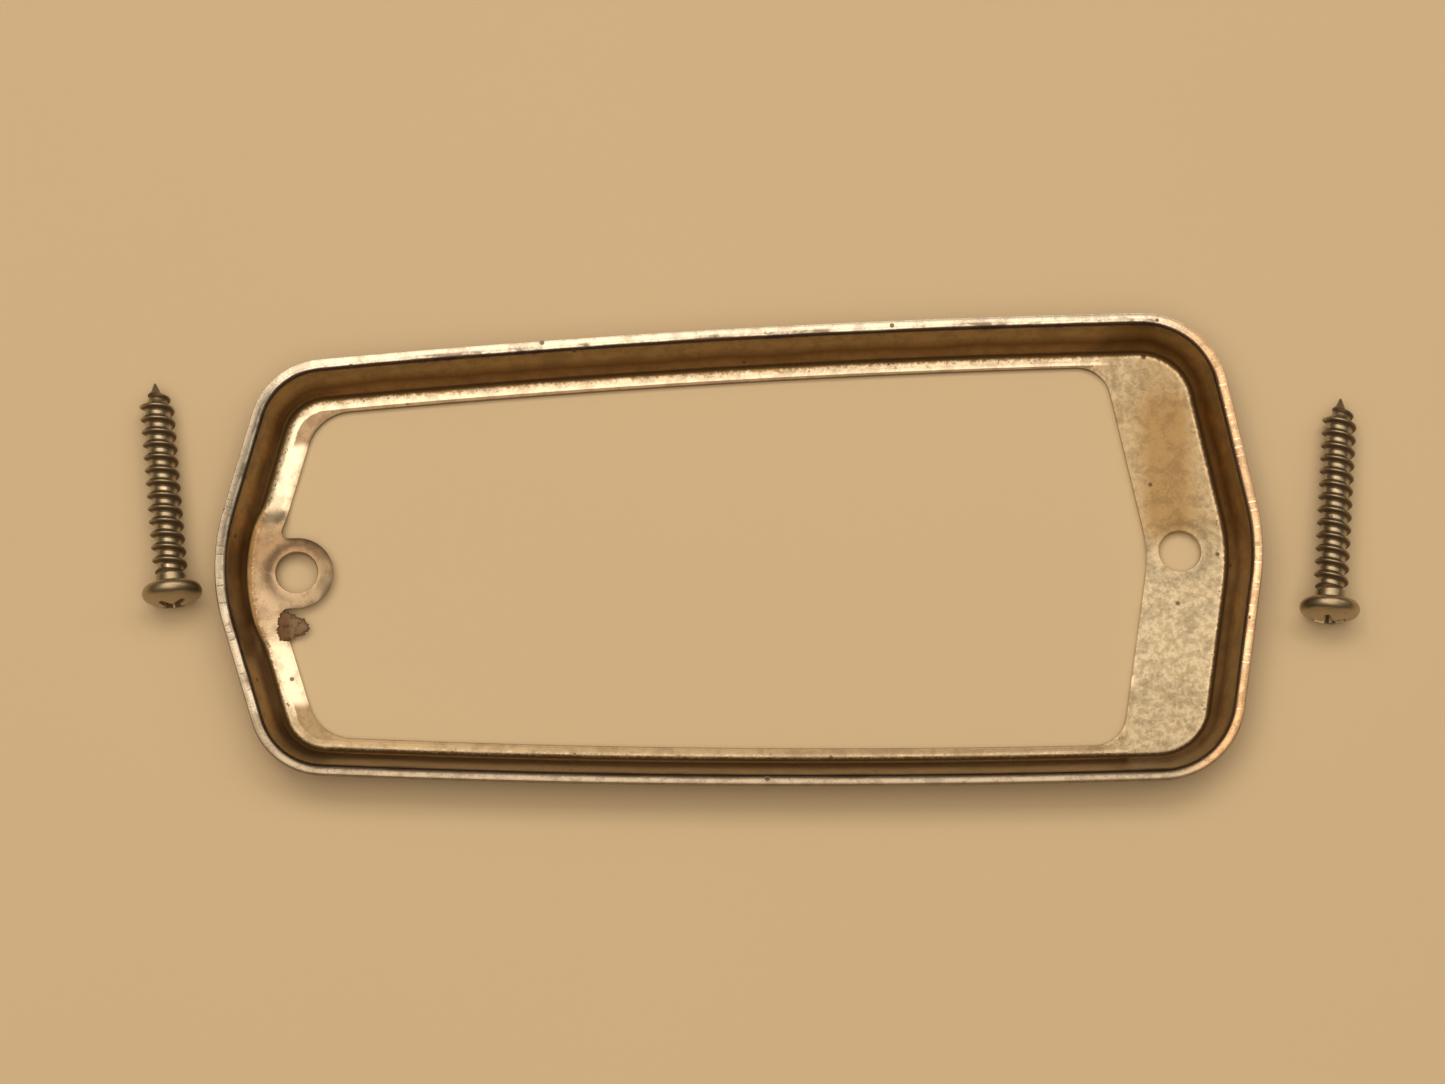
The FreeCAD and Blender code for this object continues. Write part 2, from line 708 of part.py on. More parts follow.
def draw_cross(drawing):
    """Draw the cross of the drive recess."""
    span, slot = size("recess_span") / 2, size("recess_slot") / 2
    quarter = [(span, -slot), (span, slot), (slot, slot)]
    turns = ((1, 0), (0, 1), (-1, 0), (0, -1))
    outline = [(x * c - y * s, x * s + y * c) for c, s in turns for x, y in quarter]
    edges = drawing.loop(polygon(outline))
    words = {"span": "recess_span / 2", "slot": "recess_slot / 2"}
    for edge, (x, y) in zip(edges, outline):
        across = "right" if x > 0 else "left"
        up = "above" if y > 0 else "below"
        wide = words["span" if abs(x) > slot else "slot"]
        high = words["span" if abs(y) > slot else "slot"]
        drawing.put(edge, START, **{across: wide, up: high})


def make_screw(name):
    """One tapping screw, with its head's seat at the origin and its point down the Z axis."""
    body = new_body(name)
    profile = Drawing(body, f"{name}_profile", "XZ_Plane")
    draw_screw_profile(profile)
    turn(body, f"{name}_blank", profile)
    volume = checked(body, 0, True)

    pitch, point, length = size("thread_pitch"), size("point_length"), size("screw_length")
    core, crest = size("core_radius"), size("crest_radius")
    first = Drawing(body, f"{name}_ridge_section", "XZ_Plane")
    depth_text = "neck_length + thread_pitch"
    draw_ridge(first, size("neck_length") + pitch, core * BITE, crest,
               (depth_text, f"core_radius * {BITE}", "crest_radius"))
    ridge = turn(body, f"{name}_ridge", first)
    volume = checked(body, volume, True)
    axis = next(item for item in body.Origin.OriginFeatures if item.Role == "Z_Axis")
    thread = feature(body, "LinearPattern", f"{name}_thread", Originals=[ridge], Direction=(axis, [""]))
    thread.Reversed = True
    thread.Occurrences = thread_turns()
    bind(thread, Length=f"thread_pitch * {thread_turns() - 1}")
    body.Tip = thread
    volume = checked(body, volume, True)

    for i, (share, height) in enumerate(POINT_RIDGES):
        shrink = f"( core_radius - ( core_radius - tip_radius ) * {share} )"
        small = Drawing(body, f"{name}_point_section_{i + 1}", "XZ_Plane")
        depth_text = f"screw_length - point_length * {1 - share}"
        root = (core - (core - size("tip_radius")) * share) * POINT_BITE
        formulas = (depth_text, f"{shrink} * {POINT_BITE}", f"crest_radius * {height}")
        draw_ridge(small, length - point * (1 - share), root, crest * height, formulas)
        turn(body, f"{name}_point_ridge_{i + 1}", small)
        volume = checked(body, volume, True)

    cross = Drawing(body, f"{name}_cross", lift="head_height")
    draw_cross(cross)
    recess = feature(body, "Pocket", f"{name}_recess", Profile=cross.sketch)
    bind(recess, Length="recess_depth")
    checked(body, volume, False)
    return body


def lay_down(body, side):
    """Lay a screw on its head's rim and its last thread, past one end of the bezel."""
    edge, head, crest = size("head_edge_radius"), size("head_radius"), size("crest_radius")
    last = size("neck_length") + size("thread_pitch") * thread_turns()
    dip = math.atan((head - crest) / (edge + last))
    name = "right" if side > 0 else "left"
    x = side * (size("plate_length") / 2 + size(f"{name}_screw_gap") + head)
    height = head * math.cos(dip) - edge * math.sin(dip) + FLOOR_GAP
    flat = Rotation(Vector(1, 0, 0), 90 - math.degrees(dip))
    turned = Rotation(UP, size(f"{name}_screw_turn"))
    body.Placement = Placement(Vector(x, size(f"{name}_screw_shift"), height), turned * flat)


def check_and_write(nodes):
    """Stop on any failed object or shape, then write each node's solid to its own file."""
    document.recompute()
    failed = [item.Label for item in document.Objects if {"Invalid", "Error"} & set(item.State)]
    if failed:
        raise RuntimeError(f"these objects failed: {failed}")
    for node in nodes:
        if node.Shape.isNull() or not node.Shape.isValid():
            raise RuntimeError(f"{node.Label} has no valid shape")
    for node in nodes:
        node.Shape.exportStep(f"parts/{node.Label}.step")
        box = node.Shape.optimalBoundingBox()
        sides = f"{box.XLength:.2f} x {box.YLength:.2f} x {box.ZLength:.2f}"
        print(f"{node.Label}: {node.Shape.Volume:.1f} mm3, {sides}, bottom {box.ZMin:.3f}")


def main():
    """Build the three pieces and write them."""
    bezel = make_bezel()
    screws = []
    for side, name in ((-1, "left_screw"), (1, "right_screw")):
        screw = make_screw(name)
        lay_down(screw, side)
        screws.append(screw)
    check_and_write([bezel] + screws)


main()
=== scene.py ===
"""A pressed, plated trim bezel lying open side up, with its two loose tapping screws.

Sizes in the dataclasses are millimetres. Meshes are scaled to metres when they are made.
X runs through both screw holes, Z is up, and the bezel rests on its front face at z = 0.
"""

import logging
import math
from dataclasses import dataclass, field
from enum import Enum

import bpy
import bmesh
import numpy as np
from mathutils import Matrix, Vector
from mathutils.geometry import delaunay_2d_cdt


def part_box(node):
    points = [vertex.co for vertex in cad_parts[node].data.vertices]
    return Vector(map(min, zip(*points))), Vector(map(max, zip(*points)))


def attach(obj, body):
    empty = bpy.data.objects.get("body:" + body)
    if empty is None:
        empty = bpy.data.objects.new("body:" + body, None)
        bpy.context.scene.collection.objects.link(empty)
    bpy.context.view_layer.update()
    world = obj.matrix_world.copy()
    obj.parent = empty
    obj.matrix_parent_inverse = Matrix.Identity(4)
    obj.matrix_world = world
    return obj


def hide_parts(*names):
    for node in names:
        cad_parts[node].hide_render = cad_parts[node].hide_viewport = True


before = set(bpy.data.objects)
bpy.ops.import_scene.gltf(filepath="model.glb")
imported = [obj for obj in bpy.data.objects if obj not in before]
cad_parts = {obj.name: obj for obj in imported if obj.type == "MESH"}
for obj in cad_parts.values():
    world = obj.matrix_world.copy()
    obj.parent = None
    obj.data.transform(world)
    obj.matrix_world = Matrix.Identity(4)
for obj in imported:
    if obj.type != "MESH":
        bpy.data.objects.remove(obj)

MM = 0.001
TURN = 2 * math.pi
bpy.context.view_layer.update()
log = logging.getLogger("trim_bezel")

Colour = tuple[float, float, float]
Circle = tuple[float, float, float]


class End(Enum):
    """One of the two ends of the bezel, with its direction along X."""

    LEFT = -1
    RIGHT = 1


class Face(Enum):
    """The material slots of the bezel's sheet, in order."""

    BACK = 0
    FRONT = 1
    CUT = 2


# ---------------------------------------------------------------- node trees


@dataclass
class Bench:
    """Adds and joins nodes in one tree.

    Args:
        tree: the node tree that is being built.
    """

    tree: bpy.types.NodeTree

    def add(self, kind: str, inputs: dict | None = None, **settings) -> bpy.types.Node:
        """Add a node.

        Args:
            kind: the node's type name.
            inputs: values or sockets for its inputs, by name or number.
            settings: its own settings, such as its operation.

        Returns:
            The new node.
        """
        node = self.tree.nodes.new(kind)
        for name, value in settings.items():
            setattr(node, name, value)
        for name, value in (inputs or {}).items():
            self.feed(node.inputs[name], value)
        return node

    def feed(self, socket: bpy.types.NodeSocket, value: object) -> None:
        """Join a socket to a source, or set its plain value."""
        if isinstance(value, bpy.types.NodeSocket):
            self.tree.links.new(value, socket)
        else:
            socket.default_value = value

    def sum(self, operation: str, *values: object, clamp: bool = False) -> bpy.types.NodeSocket:
        """The result of one arithmetic step on one to three values."""
        node = self.add("ShaderNodeMath", dict(enumerate(values)), operation=operation)
        node.use_clamp = clamp
        return node.outputs[0]

    def fold(self, operation: str, values: tuple[object, ...]) -> object:
        """One two-value step carried along a row of values."""
        result = values[0]
        for value in values[1:]:
            result = self.sum(operation, result, value)
        return result

    def times(self, *values: object) -> object:
        """The product of a row of values."""
        return self.fold("MULTIPLY", values)

    def most(self, *values: object) -> object:
        """The largest of a row of values."""
        return self.fold("MAXIMUM", values)

    def gap(self, first: object, second: object) -> bpy.types.NodeSocket:
        """How far apart two values are."""
        return self.sum("ABSOLUTE", self.sum("SUBTRACT", first, second))

    def vector(self, operation: str, *values: object) -> bpy.types.NodeSocket:
        """The vector result of one vector step."""
        node = self.add("ShaderNodeVectorMath", operation=operation)
        for socket, value in zip(node.inputs, values):
            self.feed(socket, value)
        return node.outputs[0]

    def ease(self, value: object, start: object, stop: object, low: object = 0.0,
             high: object = 1.0) -> bpy.types.NodeSocket:
        """A value carried smoothly from one range to another, and held at its ends."""
        inputs = {0: value, 1: start, 2: stop, 3: low, 4: high}
        return self.add("ShaderNodeMapRange", inputs, interpolation_type="SMOOTHSTEP").outputs[0]

    def mix(self, share: object, first: object, second: object) -> bpy.types.NodeSocket:
        """A mix of two colours."""
        node = self.add("ShaderNodeMix", data_type="RGBA")
        for index, value in ((0, share), (6, first), (7, second)):
            if isinstance(value, tuple) and len(value) == 3:
                value = (*value, 1.0)
            self.feed(node.inputs[index], value)
        return node.outputs[2]

    def noise(self, place: object, scale: object, detail: float = 4.0, roughness: float = 0.55,
              distortion: float = 0.0) -> bpy.types.NodeSocket:
        """Smooth noise between 0 and 1."""
        inputs = {"Vector": place, "Scale": scale, "Detail": detail, "Roughness": roughness,
                  "Distortion": distortion}
        return self.add("ShaderNodeTexNoise", inputs).outputs[0]

    def ramp(self, value: object, width: float, stops: list[tuple[float, Colour]]) -> bpy.types.NodeSocket:
        """A colour that runs through a row of stops.

        Args:
            value: the number that picks the colour.
            width: the number at the far end of the row.
            stops: each stop's number and colour, in order.

        Returns:
            The colour.
        """
        node = self.add("ShaderNodeValToRGB", {0: self.sum("DIVIDE", value, width)})
        elements = node.color_ramp.elements
        elements.remove(elements[1])
        for index, (spot, colour) in enumerate(stops):
            element = elements[0] if index == 0 else elements.new(spot / width)
            element.position = spot / width
            element.color = (*colour, 1.0)
        return node.outputs[0]

    def stretched(self, place: object, scale: tuple[float, float, float]) -> bpy.types.NodeSocket:
        """A place drawn out or squeezed along the axes."""
        return self.vector("MULTIPLY", place, scale)

    def named(self, name: str) -> bpy.types.NodeSocket:
        """A number stored on the mesh under a name."""
        return self.add("ShaderNodeAttribute", attribute_name=name).outputs["Fac"]

    def relief(self, shader: bpy.types.Node, strength: float, distance: float, height: object) -> None:
        """Raise a shader's surface by a height, in metres."""
        bump = self.add("ShaderNodeBump", {"Strength": strength, "Distance": distance, "Height": height})
        self.feed(shader.inputs["Normal"], bump.outputs[0])

    def stored(self, geometry: object, name: str, value: object) -> bpy.types.Node:
        """A number kept on each point under a name."""
        inputs = {"Geometry": geometry, "Name": name, "Value": value}
        return self.add("GeometryNodeStoreNamedAttribute", inputs, data_type="FLOAT")

    def place(self) -> bpy.types.NodeSocket:
        """The place on the object, in metres."""
        return self.add("ShaderNodeTexCoord").outputs["Object"]


SOCKETS = {float: "NodeSocketFloat", int: "NodeSocketInt", tuple: "NodeSocketVector"}


def open_group(name: str, kind: str, inputs: dict[str, object],
               outputs: dict[str, str]) -> tuple[Bench, bpy.types.Node, bpy.types.Node]:
    """Start a node group with named inputs and outputs.

    Args:
        name: the group's name.
        kind: the type of tree.
        inputs: each input's name and first value.
        outputs: each output's name and socket type.

    Returns:
        The bench, the group's input node and its output node.
    """
    tree = bpy.data.node_groups.new(name, kind)
    for label, value in inputs.items():
        socket_type = value if isinstance(value, str) else SOCKETS[type(value)]
        socket = tree.interface.new_socket(label, in_out="INPUT", socket_type=socket_type)
        if not isinstance(value, str):
            socket.default_value = value
    for label, socket_type in outputs.items():
        tree.interface.new_socket(label, in_out="OUTPUT", socket_type=socket_type)
    bench = Bench(tree)
    return bench, bench.add("NodeGroupInput"), bench.add("NodeGroupOutput")


def tarnish_group() -> bpy.types.NodeTree:
    """The group that makes a mottled film: broad clouds broken up by fine grain.

    Returns:
        A shader group with the outputs Film and Grain.
    """
    inputs = {"Place": "NodeSocketVector", "Cloud Scale": 120.0, "Grain Scale": 900.0, "Cover": 0.5,
              "Softness": 0.2}
    outputs = {"Film": "NodeSocketFloat", "Grain": "NodeSocketFloat"}
    bench, given, out = open_group("Tarnish Film", "ShaderNodeTree", inputs, outputs)
    clouds = bench.noise(given.outputs["Place"], given.outputs["Cloud Scale"], 5.0, 0.6, 0.4)
    grain = bench.noise(given.outputs["Place"], given.outputs["Grain Scale"], 3.0, 0.6)
    blend = bench.sum("MULTIPLY_ADD", grain, 0.35, bench.times(clouds, 0.75))
    edge = bench.sum("SUBTRACT", 1.05, given.outputs["Cover"])
    film = bench.ease(blend, bench.sum("SUBTRACT", edge, given.outputs["Softness"]), edge)
    bench.feed(out.inputs["Film"], film)
    bench.feed(out.inputs["Grain"], grain)
    return bench.tree


def pit_group() -> bpy.types.NodeTree:
    """The group that scatters small round pits and specks.

    Returns:
        A shader group with the outputs Pits and Height.
    """
    bench, given, out = open_group(
        "Pits", "ShaderNodeTree",
        {"Place": "NodeSocketVector", "Scale": 700.0, "Share": 0.12, "Radius": 0.28},
        {"Pits": "NodeSocketFloat", "Height": "NodeSocketFloat"},
    )
    cells = bench.add("ShaderNodeTexVoronoi", {"Vector": given.outputs["Place"],
                                               "Scale": given.outputs["Scale"]})
    chosen = bench.sum("LESS_THAN", bench.add("ShaderNodeSeparateColor",
                                              {0: cells.outputs["Color"]}).outputs[0], given.outputs["Share"])
    inside = bench.ease(cells.outputs["Distance"], bench.times(given.outputs["Radius"], 0.5),
                        given.outputs["Radius"], 1.0, 0.0)
    pits = bench.times(chosen, inside)
    bench.feed(out.inputs["Pits"], pits)
    bench.feed(out.inputs["Height"], bench.times(pits, -1.0))
    return bench.tree


def scratch_group() -> bpy.types.NodeTree:
    """The group that lays fine, long wipe marks over a surface.

    Returns:
        A shader group with the output Marks.
    """
    bench, given, out = open_group(
        "Wipe Marks", "ShaderNodeTree",
        {"Place": "NodeSocketVector", "Scale": 1.0, "Sharpness": 0.5},
        {"Marks": "NodeSocketFloat"},
    )
    place = bench.vector("SCALE", given.outputs["Place"])
    bench.feed(place.node.inputs["Scale"], given.outputs["Scale"])
    long_way = bench.noise(bench.stretched(place, (90.0, 2600.0, 2600.0)), 1.0, 3.0, 0.65)
    cross_way = bench.noise(bench.stretched(place, (2100.0, 140.0, 2100.0)), 1.0, 2.0, 0.6)
    both = bench.most(long_way, bench.times(cross_way, 0.93))
    bench.feed(out.inputs["Marks"], bench.ease(both, given.outputs["Sharpness"], 0.78))
    return bench.tree


@dataclass
class Effects:
    """The shader groups that several finishes share, each built once."""

    tarnish: bpy.types.NodeTree = field(default_factory=tarnish_group)
    pits: bpy.types.NodeTree = field(default_factory=pit_group)
    marks: bpy.types.NodeTree = field(default_factory=scratch_group)

    @staticmethod
    def use(bench: Bench, tree: bpy.types.NodeTree, **inputs: object) -> bpy.types.Node:
        """Place one of the groups in a material with its own values.

        Args:
            bench: the material's bench.
            tree: the group.
            inputs: values by input name, with _ for a space.

        Returns:
            The group node.
        """
        node = bench.add("ShaderNodeGroup", node_tree=tree)
        for name, value in inputs.items():
            bench.feed(node.inputs[name.replace("_", " ")], value)
        return node


def open_material(name: str, **plain: object) -> tuple[bpy.types.Material, Bench, bpy.types.Node]:
    """Start a material round one Principled BSDF.

    Args:
        name: the material's name.
        plain: values for the shader's own inputs, with _ for a space.

    Returns:
        The material, its bench and its shader.
    """
    material = bpy.data.materials.new(name)
    material.use_nodes = True
    material.node_tree.nodes.clear()
    bench = Bench(material.node_tree)
    shader = bench.add("ShaderNodeBsdfPrincipled")
    for label, value in plain.items():
        shader.inputs[label.replace("_", " ")].default_value = value
    bench.add("ShaderNodeOutputMaterial", {"Surface": shader.outputs[0]})
    return material, bench, shader


# ---------------------------------------------------------------- finishes


@dataclass(frozen=True)
class StainedPlating:
    """The unpolished back of the plated sheet, with brown film, bloom, pits and press marks, and with painted
    highlight, reflection and shade on its lip, wall, floor strip and tab.
    """

    bright: Colour = (0.84, 0.80, 0.73)
    # the lip's colour off its painted highlight line
    lip_edge: Colour = (0.46, 0.41, 0.36)
    # painted shade in the lip's bend
    lip_root: Colour = (0.24, 0.18, 0.155)
    lip_stain: Colour = (0.15, 0.105, 0.095)
    upper_wall: Colour = (0.31, 0.215, 0.105)
    # painted shade: the dark line across the wall's middle and along the window's edge on the rails
    crease: Colour = (0.15, 0.080, 0.030)
    lower_wall: Colour = (0.29, 0.185, 0.088)
    strip: Colour = (0.80, 0.72, 0.60)
    tan: Colour = (0.50, 0.335, 0.155)
    # painted warm reflection on the right end's lip
    warm_lip: Colour = (0.52, 0.34, 0.19)
    # painted shade on the near rail's floor strip
    near_strip: Colour = (0.28, 0.21, 0.125)
    # painted shade on the near rail's lip and the left end's lip
    dull_lip: Colour = (0.22, 0.18, 0.14)
    bloom: Colour = (0.86, 0.77, 0.59)
    faded: Colour = (0.60, 0.50, 0.34)
    # brown film and painted dark reflection on the tab
    tab_film: Colour = (0.27, 0.175, 0.100)
    # patchy warmer colour on the walls at both ends
    rust_streak: Colour = (0.55, 0.27, 0.09)
    dark_tick: Colour = (0.16, 0.13, 0.085)
    pale_tick: Colour = (0.95, 0.92, 0.86)
    wide_middle: float = 50.8
    # inset of the painted highlight line along the lip's crest
    lip_crest: float = 0.40
    grime: Colour = (0.075, 0.040, 0.018)
    wide_floor: float = 43.5
    end_reach: float = 55.5
    section_width: float = 6.0
    effects: Effects = field(default_factory=Effects, compare=False)

    def section_colour(self, bench: Bench, inset: object) -> bpy.types.NodeSocket:
        """The colour from the lip's edge down the wall to the floor: brown film, with painted shade in a dark
        line at the lip's bend and another across the wall's middle.
        """
        return bench.ramp(inset, self.section_width, [
            (0.0, self.bright), (0.86, self.bright), (1.0, self.lip_root), (1.12, self.lip_root),
            (1.34, self.upper_wall), (1.9, self.upper_wall), (2.55, self.crease), (3.1, self.lower_wall),
            (3.75, self.lower_wall), (4.25, self.strip), (5.9, self.strip),
        ])

    def lip_colour(self, bench: Bench, run: object, inset: object, section: object) -> bpy.types.NodeSocket:
        """Lay the rounded lip with its painted highlight line, its stains and its few dark cross lines over
        the section's colours.

        Args:
            bench: the material's bench.
            run: the place along and across the rim.
            inset: the distance in from the lip's edge.
            section: the colours of the wall and the floor.

        Returns:
            The new colour.
        """
        # painted highlight: bright along the lip's crest, the darker lip colour off it
        off_crest = bench.gap(inset, self.lip_crest)
        lip = bench.mix(bench.ease(off_crest, 0.12, 0.45), self.bright, self.lip_edge)
        colour = bench.mix(bench.ease(inset, 0.62, 0.86), lip, section)
        patches = bench.ease(bench.noise(run, 0.16, 4.0, 0.65), 0.50, 0.60)
        near_root = bench.times(bench.ease(inset, 0.35, 0.75), bench.ease(inset, 1.2, 1.7, 1.0, 0.0))
        colour = bench.mix(bench.times(patches, near_root, 0.8), colour, self.lip_stain)
        across = bench.noise(bench.stretched(run, (1.7, 0.06, 1.0)), 1.0, 2.0)
        lines = bench.times(bench.ease(across, 0.69, 0.72), bench.sum("LESS_THAN", inset, 0.8))
        return bench.mix(bench.times(lines, 0.7), colour, self.lip_stain)

    def duller_sides(self, bench: Bench, x: object, y: object, inset: object,
                     colour: object) -> bpy.types.NodeSocket:
        """Paint shade on the near rail's lip and floor strip and on the left end's lip, and paint a warm
        reflection on the right end's lip.

        Args:
            bench: the material's bench.
            x: the first number of the place on the object.
            y: its second number.
            inset: the distance in from the lip's edge, wandering.
            colour: the colour underneath.

        Returns:
            The new colour.
        """
        on_lip = bench.ease(inset, 0.95, 1.25, 1.0, 0.0)
        near = bench.ease(y, -0.019, -0.014, 1.0, 0.0)
        left, right = bench.ease(x, -0.058, -0.052, 1.0, 0.0), bench.ease(x, 0.048, 0.056)
        # painted shade on the near rail's floor strip
        strip = bench.times(bench.ease(inset, 3.7, 4.3), near)
        colour = bench.mix(bench.times(strip, 0.85), colour, self.near_strip)
        # painted shade on the near rail's lip and the left end's lip
        dull = bench.most(bench.times(near, 0.85), bench.times(left, 0.55))
        colour = bench.mix(bench.times(dull, on_lip), colour, self.dull_lip)
        # painted warm reflection on the right end's lip
        return bench.mix(bench.times(right, on_lip, 0.8), colour, self.warm_lip)

    def floor_colour(self, bench: Bench, place: object, x: object, y: object,
                     colour: object) -> tuple[bpy.types.NodeSocket, bpy.types.NodeSocket]:
        """Lay tan film and pale bloom over the wide floor.

        Args:
            bench: the material's bench.
            place: the place on the object.
            x: its first number.
            y: its second number.
            colour: the colour underneath.

        Returns:
            The new colour and how far it covers the plating.
        """
        ragged = bench.sum("MULTIPLY_ADD", bench.noise(place, 420.0, 5.0, 0.65), 0.012, x)
        near, far = (self.wide_floor + 4.0) * MM, (self.wide_floor + 8.0) * MM
        on_wide = bench.times(bench.ease(bench.named("inset"), 3.7, 4.3), bench.ease(ragged, near, far))
        patches = self.effects.use(bench, self.effects.tarnish, Place=place, Cloud_Scale=115.0,
                                   Grain_Scale=1700.0, Cover=0.56, Softness=0.30)
        fine = bench.noise(place, 1250.0, 5.0, 0.62)
        to_middle = bench.gap(x, self.wide_middle * MM)
        middle = bench.ease(to_middle, 0.0008, 0.0048, 1.0, 0.0)
        upper = bench.ease(y, -0.002, 0.004)
        top_end = bench.ease(y, 0.017, 0.021, 1.0, 0.55)
        tan_share = bench.times(upper, top_end, bench.sum("MULTIPLY_ADD", middle, 0.55, 0.40))
        patchy = bench.ease(patches.outputs["Film"], 0.0, 1.0, 0.72, 1.15)
        tan_share = bench.sum("MULTIPLY", tan_share, patchy, clamp=True)
        spots = bench.times(bench.ease(patches.outputs["Grain"], 0.5, 0.7), 0.35)
        low_tan = bench.times(bench.sum("SUBTRACT", 1.0, upper), spots, middle)
        tan_share = bench.most(tan_share, low_tan)
        bloom_share = bench.ease(bench.sum("MULTIPLY_ADD", fine, 0.45, patches.outputs["Film"]), 0.25, 0.95,
                                 0.35, 0.85)
        cover = bench.times(on_wide, bloom_share)
        pale = bench.mix(bench.ease(fine, 0.40, 0.62), self.bloom, self.faded)
        result = bench.mix(cover, colour, pale)
        result = bench.mix(bench.times(on_wide, tan_share), result, self.tan)
        return result, bench.most(cover, bench.times(on_wide, tan_share))

    def press_marks(self, bench: Bench, place: object, x: object, along: object,
                    inset: object) -> bpy.types.NodeSocket:
        """The short cross marks where the end lips were stretched over the press tool."""
        drift = bench.sum("MULTIPLY_ADD", bench.noise(place, 160.0, 2.0), 1.6, bench.times(along, 1.02))
        beat = bench.gap(bench.sum("FRACT", drift), 0.5)
        line = bench.ease(beat, 0.05, 0.11, 1.0, 0.0)
        strength = bench.ease(bench.noise(bench.stretched(place, (700.0, 700.0, 100.0)), 1.0, 2.0), 0.40,
                              0.62)
        at_ends = bench.ease(bench.sum("ABSOLUTE", x), self.end_reach * MM, (self.end_reach + 2) * MM)
        reach = bench.sum("MULTIPLY_ADD", strength, 0.6, 0.35)
        on_lip = bench.times(bench.ease(inset, 0.08, 0.16), bench.sum("LESS_THAN", inset, reach))
        marks = bench.times(line, strength, on_lip)
        return bench.times(marks, at_ends)

    def make(self) -> bpy.types.Material:
        """Build the material.

        Returns:
            The finished material.
        """
        material, bench, shader = open_material("plating_back")
        place = bench.place()
        inset, along = bench.named("inset"), bench.named("along")
        x, y, _ = bench.add("ShaderNodeSeparateXYZ", {0: place}).outputs
        use, effects = self.effects.use, self.effects
        fine = use(bench, effects.tarnish, Place=place, Cloud_Scale=560.0, Grain_Scale=3600.0, Cover=0.40,
                   Softness=0.16)
        pits = use(bench, effects.pits, Place=place, Scale=800.0, Share=0.035, Radius=0.30)
        marks = use(bench, effects.marks, Place=place, Scale=1.0, Sharpness=0.6)

        # the section's colours with their painted highlight and shade lines, and a ragged speckled line where
        # the wall meets the floor
        run = bench.add("ShaderNodeCombineXYZ", {0: along, 1: bench.times(inset, 2.5)}).outputs[0]
        drift = bench.sum("SUBTRACT", bench.noise(run, 0.10, 4.0, 0.6), 0.5)
        crumbs = bench.sum("SUBTRACT", bench.noise(place, 2100.0, 4.0, 0.65), 0.5)
        near_floor = bench.ease(inset, 3.2, 3.8)
        wander = bench.sum("MULTIPLY_ADD", drift, 0.75, bench.times(crumbs, near_floor, 1.8))
        moved = bench.sum("ADD", inset, wander)
        colour = self.lip_colour(bench, run, inset, self.section_colour(bench, moved))
        # painted shade: a dark line along the window's edge on the two rails
        on_rails = bench.ease(bench.sum("ABSOLUTE", y), 0.0150, 0.0162)
        colour = bench.mix(bench.times(on_rails, bench.ease(inset, 4.80, 4.97, 0.0, 0.8)), colour,
                           self.crease)
        # painted shade on the near rail and the left lip, painted warm reflection on the right lip
        colour = self.duller_sides(bench, x, y, moved, colour)
        # patchy warmer colour on the walls at both ends
        at_ends = bench.ease(bench.sum("ABSOLUTE", x), 0.050, 0.058)
        warm = bench.times(at_ends, bench.ease(inset, 1.25, 1.7), bench.ease(inset, 2.2, 3.0, 1.0, 0.0))
        patchy = bench.ease(bench.noise(run, 0.35, 3.0), 0.45, 0.65)
        colour = bench.mix(bench.times(warm, patchy, 0.35), colour, self.rust_streak)

        # brown film and painted dark reflection on the tab and its raised seat, with more painted shade on
        # the far side
        tab = bench.times(bench.ease(x, -0.0605, -0.0570, 0.0, 1.0), bench.sum("LESS_THAN", x, -0.046))
        # more painted shade on the tab's far side than on its near side
        high = bench.sum("MULTIPLY_ADD", bench.ease(y, -0.003, 0.003), 0.18, 0.72)
        tab = bench.times(tab, high, bench.ease(inset, 3.6, 4.0))
        near_tab = bench.ease(bench.sum("ABSOLUTE", y), 0.0045, 0.0100, 1.0, 0.0)
        tab = bench.times(tab, near_tab)
        colour = bench.mix(tab, colour, self.tab_film)
        colour, cover = self.floor_colour(bench, place, x, y, colour)

        # grime in clumps, in the pits and along the foot of the wall
        clumps = bench.ease(bench.noise(place, 300.0, 4.0, 0.6), 0.50, 0.66)
        in_foot = bench.times(bench.ease(inset, 3.3, 3.9), bench.ease(inset, 4.2, 4.8, 1.0, 0.0))
        speckle = bench.ease(crumbs, 0.02, 0.14)
        dirt = bench.times(in_foot, clumps, speckle)
        film_dirt, pit_dirt = bench.times(fine.outputs["Film"], 0.28), bench.times(pits.outputs["Pits"], 0.8)
        dirt = bench.most(dirt, film_dirt, pit_dirt)
        colour = bench.mix(dirt, colour, self.grime)
        ticks = self.press_marks(bench, place, x, along, inset)
        left = bench.times(bench.sum("LESS_THAN", x, 0.0), ticks)
        right = bench.times(bench.sum("GREATER_THAN", x, 0.0), ticks)
        colour = bench.mix(bench.times(left, 0.75), colour, self.dark_tick)
        colour = bench.mix(bench.times(right, 0.55), colour, self.pale_tick)
        bench.feed(shader.inputs["Base Color"], colour)

